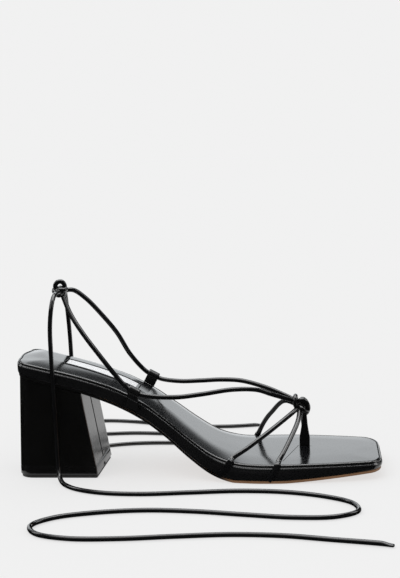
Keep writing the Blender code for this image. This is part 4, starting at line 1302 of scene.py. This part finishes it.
CORD = 0.0032
CORD_STEP = 0.0013
CORD_SIDES = 20
KNOT_SIDES = 16
FLAT_WIDTH = 0.0046
FLAT_THICKNESS = 0.0014
FLAT_SPREAD = 0.55
FLAT_THIN = 0.45
FLAT_REACH = 2.2
STRAP_OVER_IN = 0.9
STRAP_FOOT_UP = 0.0003
POST_STATION = 0.789
POST_SHARE = 0.27
TOE_KNOT_RISE = 0.0278
TOE_KNOT_BACK = 0.0026
LACE_ABOVE = 0.80
ANKLE_KNOT_STATION = 0.116
ANKLE_KNOT_RISE = 0.0500
ANKLE_KNOT_SIDE = -0.0030
LOOP_WIDTH = 0.0078
LOOP_LEAN = math.radians(28)
LOOP_OUT = 0.0017
LOOP_ENTRY = 0.7
SIDES = {"lateral": LATERAL, "medial": MEDIAL}
LOOP_STATION = {"lateral": 0.331, "medial": 0.350}
LOOP_RISE = {"lateral": 0.0052, "medial": 0.0074}

Bend = namedtuple("Bend", "along lift side")
VAMP_BENDS = {
    "lateral_back": (Bend(0.190, 0.010, 0.030), Bend(0.540, 0.006, 0.034), Bend(0.820, 0.000, 0.018)),
    "lateral_front": (Bend(0.280, 0.000, 0.046), Bend(0.620, 0.000, 0.034), Bend(0.860, 0.004, 0.018)),
    "medial_back": (Bend(0.123, 0.150, 0.098), Bend(0.504, 0.131, 0.068), Bend(0.779, 0.080, 0.027)),
    "medial_front": (Bend(0.280, 0.020, 0.000), Bend(0.550, 0.034, 0.000), Bend(0.800, 0.028, 0.000)),
}
LACE_BENDS = {
    "lateral": (
        Bend(0.181, 0.038, -0.024), Bend(0.280, 0.062, -0.017), Bend(0.443, 0.057, -0.009),
        Bend(0.634, 0.021, -0.002), Bend(0.800, -0.003, 0.006),
    ),
    "medial": (
        Bend(0.112, 0.033, 0.002), Bend(0.243, 0.065, 0.008), Bend(0.413, 0.084, 0.012),
        Bend(0.556, 0.068, 0.011), Bend(0.700, 0.038, 0.014), Bend(0.850, 0.009, 0.014),
    ),
}
HEEL_BENDS = {
    "lateral": (
        Bend(0.140, 0.000, 0.034), Bend(0.356, -0.006, 0.053), Bend(0.585, -0.015, 0.059),
        Bend(0.782, -0.018, 0.044),
    ),
    "medial": (
        Bend(0.206, 0.013, -0.002), Bend(0.413, 0.066, -0.005), Bend(0.621, 0.089, -0.005),
        Bend(0.814, 0.094, 0.001), Bend(0.937, 0.070, 0.006),
    ),
}
VampStrap = namedtuple("VampStrap", "name station side slant")
VAMP_STRAPS = (
    VampStrap("lateral_back", 0.596, LATERAL, 0.0088),
    VampStrap("lateral_front", 0.721, LATERAL, 0.0066),
    VampStrap("medial_back", 0.652, MEDIAL, 0.0060),
    VampStrap("medial_front", 0.787, MEDIAL, 0.0020),
)
KNOT_RIDGES = 9
KNOT_RIDGE_RISE = 0.05
KNOT_RIDGE_SLANT = 1400
TOE_KNOT_CORE = (1.25, 1.30, 1.50)
TOE_KNOT_TURNS = (
    ((-0.6, -0.4, 0.7), (0.2, -0.8, 1.5), (1.25, -0.6, 1.0), (1.7, -0.2, -0.3), (1.2, 0.1, -1.5),
     (0.4, 0.1, -1.0)),
    ((-0.3, 0.5, 0.7), (0.5, 0.9, 1.35), (1.4, 0.85, 0.5), (1.4, 0.6, -0.9), (0.5, 0.3, -1.0)),
    ((-0.2, -0.7, 0.2), (0.5, -1.5, -0.3), (1.2, -0.9, -0.9), (1.5, 0.2, -1.1), (0.3, 0.6, -0.7)),
    ((-0.6, -0.6, -0.4), (-1.0, -1.3, 0.7), (-1.0, -0.8, 1.8), (-0.95, 0.0, 2.2), (-0.9, 0.8, 1.8),
     (-0.9, 1.35, 0.7), (-0.6, 0.7, -0.4)),
)
ANKLE_KNOT_CORE = (1.15, 1.15, 1.20)
ANKLE_KNOT_TURNS = (
    ((0.4, -0.3, -0.5), (-0.3, -1.3, -0.7), (-1.2, -0.9, 0.0), (-1.3, 0.2, 0.5), (-0.4, 0.5, 0.4)),
    ((-0.5, -0.3, 0.3), (-1.0, -0.8, 1.2), (-0.5, -0.7, 2.0), (0.4, -0.4, 2.0), (0.9, -0.3, 1.1),
     (0.4, -0.1, 0.2)),
    ((0.5, 0.4, 0.2), (1.2, -0.4, 0.5), (0.8, -1.3, 0.4), (-0.2, -1.4, 0.4), (-0.9, -0.9, -0.5),
     (-0.3, -0.2, -0.6)),
    ((0.00, -0.5, 0.0), (-0.10, -1.2, 0.02), (-0.15, -1.95, 0.05)),
    ((0.00, 0.5, 0.0), (0.05, 1.2, 0.0), (0.10, 1.95, 0.03)),
)


def strap_between(start, stop, bends):
    line = stop - start
    ahead = line.normalized()
    side = Vector((0, 0, 1)).cross(ahead).normalized()
    lift = ahead.cross(side)
    places = [start]
    for bend in bends:
        off = lift * bend.lift + side * bend.side
        places.append(start + line * bend.along + off * line.length)
    return places + [stop]


def foot_axis(p):
    return Vector((p.x, 0.0, top_height(clamp(station_of(p.x))) - EDGE_HEIGHT / 2))


def edge_place(station, side, out, up):
    return Vector((station_x(station), side * (half_width(station, side) + out), top_height(station) + up))


def band_height(station):
    return top_height(station) - under_height(station) - OUTSOLE_THICKNESS - GAP


def post_foot():
    x = station_x(POST_STATION)
    y = POST_SHARE * half_width(POST_STATION, MEDIAL)
    return Vector((x, y, footbed_height(x, y)))


def toe_knot():
    return post_foot() + Vector((-TOE_KNOT_BACK, -TOE_KNOT_BACK, TOE_KNOT_RISE))


def lace_start():
    return toe_knot() + Vector((0, 0, LACE_ABOVE * CORD))


def ankle_knot():
    x = station_x(ANKLE_KNOT_STATION)
    return Vector((x, ANKLE_KNOT_SIDE, top_height(ANKLE_KNOT_STATION) + ANKLE_KNOT_RISE))


def leaning_ahead(lean):
    return Vector((math.cos(lean), 0, -math.sin(lean)))


def loop_place(side_name, ahead=0.0):
    side = SIDES[side_name]
    middle = edge_place(LOOP_STATION[side_name], side, LOOP_OUT, LOOP_RISE[side_name])
    return middle + leaning_ahead(LOOP_LEAN) * ahead


def vamp_strap(strap):
    """A round strap from the toe knot over the sole's edge, pressed flat where it runs down the band."""
    over = edge_place(strap.station, strap.side, -STRAP_OVER_IN * CORD, CORD / 2 + GAP)
    places = strap_between(toe_knot(), over, VAMP_BENDS[strap.name])
    clear = FLAT_THICKNESS / 2 + GAP + WALL_BULGE
    back = strap.slant / SOLE_LENGTH
    wall = band_height(strap.station)
    down_the_band = (
        (0.05, 0.70, 0.8 * clear),
        (0.20, 1.10, -RIM_WIDTH / 2),
        (0.45, 0.80, -0.45 * wall),
        (1.00, 0.45, -wall + STRAP_FOOT_UP),
    )
    for slip, out, up in down_the_band:
        places.append(edge_place(strap.station - slip * back, strap.side, out * clear, up))
    places = smooth_route(places, CORD_STEP)
    widths, thicknesses = [], []
    for p in places:
        beyond = strap.side * p.y - half_width(station_of(p.x), strap.side)
        t = ease((beyond + FLAT_REACH * CORD) / (FLAT_REACH * CORD))
        down = clamp((top_height(station_of(p.x)) - p.z) / wall)
        widths.append(CORD + (FLAT_WIDTH - CORD) * t * FLAT_SPREAD)
        thicknesses.append(CORD + (FLAT_THICKNESS * (1 - FLAT_THIN * down) - CORD) * t)
    return tube("strap_" + strap.name, places, widths, thicknesses, CORD_SIDES, foot_axis)


def lace(side_name):
    reach = LOOP_ENTRY * LOOP_WIDTH
    places = strap_between(lace_start(), loop_place(side_name, reach), LACE_BENDS[side_name])
    places.append(loop_place(side_name))
    places += strap_between(loop_place(side_name, -reach), ankle_knot(), HEEL_BENDS[side_name])
    places = smooth_route(places, CORD_STEP)
    size = [CORD] * len(places)
    return tube("lace_" + side_name, places, size, size, CORD_SIDES, foot_axis)


def knot_core(name, middle, core):
    """The cord wound up inside a knot, which shows only as dark leather between its turns."""
    ball = bmesh.new()
    bmesh.ops.create_icosphere(ball, subdivisions=4, radius=CORD)
    for vertex in ball.verts:
        p = vertex.co
        wave = math.sin(KNOT_RIDGES * math.atan2(p.y, p.x) + KNOT_RIDGE_SLANT * p.z)
        wound = Vector((p.x * core[0], p.y * core[1], p.z * core[2])) * (1 + KNOT_RIDGE_RISE * wave)
        vertex.co = wound + middle
    vertices = [vertex.co.copy() for vertex in ball.verts]
    faces = [[vertex.index for vertex in face.verts] for face in ball.faces]
    ball.free()
    return mesh_object(name + "_core", vertices, faces, STRAND_LEATHER)


def knot(name, middle, core, turns):
    pieces = [knot_core(name, middle, core)]
    for index, turn in enumerate(turns):
        places = smooth_route([middle + Vector(p) * CORD for p in turn], CORD_STEP / 2)
        size = [CORD] * len(places)
        pieces.append(tube(f"{name}_turn_{index + 1}", places, size, size, KNOT_SIDES))
    return pieces


def build_strands():
    pieces = [vamp_strap(strap) for strap in VAMP_STRAPS]
    pieces += [lace("lateral"), lace("medial")]
    pieces += knot("toe_knot", toe_knot(), TOE_KNOT_CORE, TOE_KNOT_TURNS)
    pieces += knot("ankle_knot", ankle_knot(), ANKLE_KNOT_CORE, ANKLE_KNOT_TURNS)
    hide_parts("upper")


build_strands()

# Toe post: a flat leather tab that rises through the cut in the footbed, narrows and goes into the
# knot. The tab and the side loops are cut from the same leather.

POST_BASE_WIDTH = 0.0070
POST_THICKNESS = 0.0022
POST_TOP_AHEAD = 0.0030
POST_TAPER = ((0.0, 1.0), (0.22, 1.0), (0.36, 0.80), (0.55, 0.58), (0.80, 0.42), (1.0, 0.42))
POST_SUNK = 0.05
POST_SQUARE = 0.55
POST_LEVELS = 40
POST_SIDES = 24
TAB_LEATHER = satin_finish(
    "tab_leather", (0.0028, 0.0028, 0.0030), (0.0066, 0.0066, 0.0070),
    rough=0.28, cell=0.0005, depth=0.00003, specular=0.45,
)


def squared(value):
    return math.copysign(abs(value) ** POST_SQUARE, value)


def build_post():
    foot = post_foot()
    top = toe_knot() + Vector((POST_TOP_AHEAD, 0, 0))
    shares, tapers = zip(*POST_TAPER)
    turns = [math.radians(360 * i / POST_SIDES) for i in range(POST_SIDES)]
    rings = []
    for share in np.linspace(-POST_SUNK, 1, POST_LEVELS + 1):
        place = foot.lerp(top, share)
        half = POST_BASE_WIDTH * float(np.interp(share, shares, tapers)) / 2
        depth = POST_THICKNESS / 2
        rings.append([
            place + Vector((half * squared(math.cos(a)), depth * squared(math.sin(a)), 0)) for a in turns
        ])
    vertices, faces = stack_of_rings(rings, closed=True)
    made = mesh_object("post_tab", vertices, faces, TAB_LEATHER, sharp=math.radians(60))


build_post()

# Side loops: a leather strip folded over the lace. Its doubled tail is cemented to the side band and
# closed by a row of stitches across it.

LOOP_LEATHER = 0.0010
TAIL_LEAN = {"lateral": math.radians(9), "medial": math.radians(28)}
TAIL_SHARE = 0.68
TAIL_TOP = 0.6
LOOP_STEP = 0.0005
LOOP_ROUND = 0.0004
LOOP_EDGE = 0.45
LOOP_ARC = range(232, -53, -12)
LOOP_COLUMNS = 14
LOOP_STITCHES = (-0.36, -0.18, 0.0, 0.18, 0.36)
LOOP_STITCH_LENGTH = 0.0011
LOOP_STITCH_WIDTH = 0.00032
LOOP_STITCH_DOWN = 0.0008
STITCH_CLEAR = 0.00002


def leaning_up(lean):
    return Vector((math.sin(lean), 0, math.cos(lean)))


def loop_line(side_name):
    """The strip seen along the lace: up the inner tail, round the lace and down the outer tail."""
    rise = LOOP_RISE[side_name]
    tail_end = -rise - band_height(LOOP_STATION[side_name]) * TAIL_SHARE
    tail_top = -rise * TAIL_TOP
    half = LOOP_LEATHER / 2
    middle = -LOOP_OUT + WALL_BULGE + GAP + LOOP_LEATHER
    radius = CORD / 2 + GAP + half
    line = [(middle - half, tail_end), (middle - half, tail_top)]
    for angle in LOOP_ARC:
        a = math.radians(angle)
        line.append((radius * math.cos(a), radius * math.sin(a)))
    line += [(middle + half, tail_top), (middle + half, tail_end)]
    return smooth_route([Vector((u, v, 0)) for u, v in line], LOOP_STEP)


def build_loop(side_name):
    centre = loop_place(side_name)
    rise = LOOP_RISE[side_name]
    ahead = leaning_ahead(LOOP_LEAN)
    up = leaning_up(LOOP_LEAN)
    down = leaning_up(TAIL_LEAN[side_name])
    out = Vector((0, SIDES[side_name], 0))
    shares = [-0.5 + j / LOOP_COLUMNS for j in range(LOOP_COLUMNS + 1)]
    section = [(f, 1.0) for f in shares] + [(f, -1.0) for f in reversed(shares)]
    line = loop_line(side_name)
    rows = []
    for k, p in enumerate(line):
        direction = (line[min(k + 1, len(line) - 1)] - line[max(k - 1, 0)]).normalized()
        normal = Vector((-direction.y, direction.x, 0))
        row = []
        for f, face in section:
            edge = min(1.0, (0.5 - abs(f)) * LOOP_WIDTH / LOOP_ROUND)
            rounding = math.sqrt(max(0.0, 1 - (1 - edge) ** 2))
            thick = LOOP_LEATHER / 2 * (LOOP_EDGE + (1 - LOOP_EDGE) * rounding)
            q = p + normal * (thick * face)
            lift = up.lerp(down, clamp((-q.y - CORD / 2 - GAP) / (rise * TAIL_TOP)))
            row.append(centre + ahead * (LOOP_WIDTH * f) + out * q.x + lift * q.y)
        rows.append(row)
    vertices, faces = stack_of_rings(rows, closed=True)
    made = mesh_object(f"loop_{side_name}_strip", vertices, faces, TAB_LEATHER, sharp=math.radians(60))
    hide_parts("loop_" + side_name)
    outside = out * (-LOOP_OUT + WALL_BULGE + GAP + 2 * LOOP_LEATHER + STITCH_CLEAR)
    row_at = centre + outside - down * (rise + LOOP_STITCH_DOWN)
    spots = [(row_at + ahead * (f * LOOP_WIDTH), ahead, out) for f in LOOP_STITCHES]
    stitch_row(f"loop_{side_name}_stitches", spots, LOOP_STITCH_LENGTH, LOOP_STITCH_WIDTH)


for side_name in SIDES:
    build_loop(side_name)
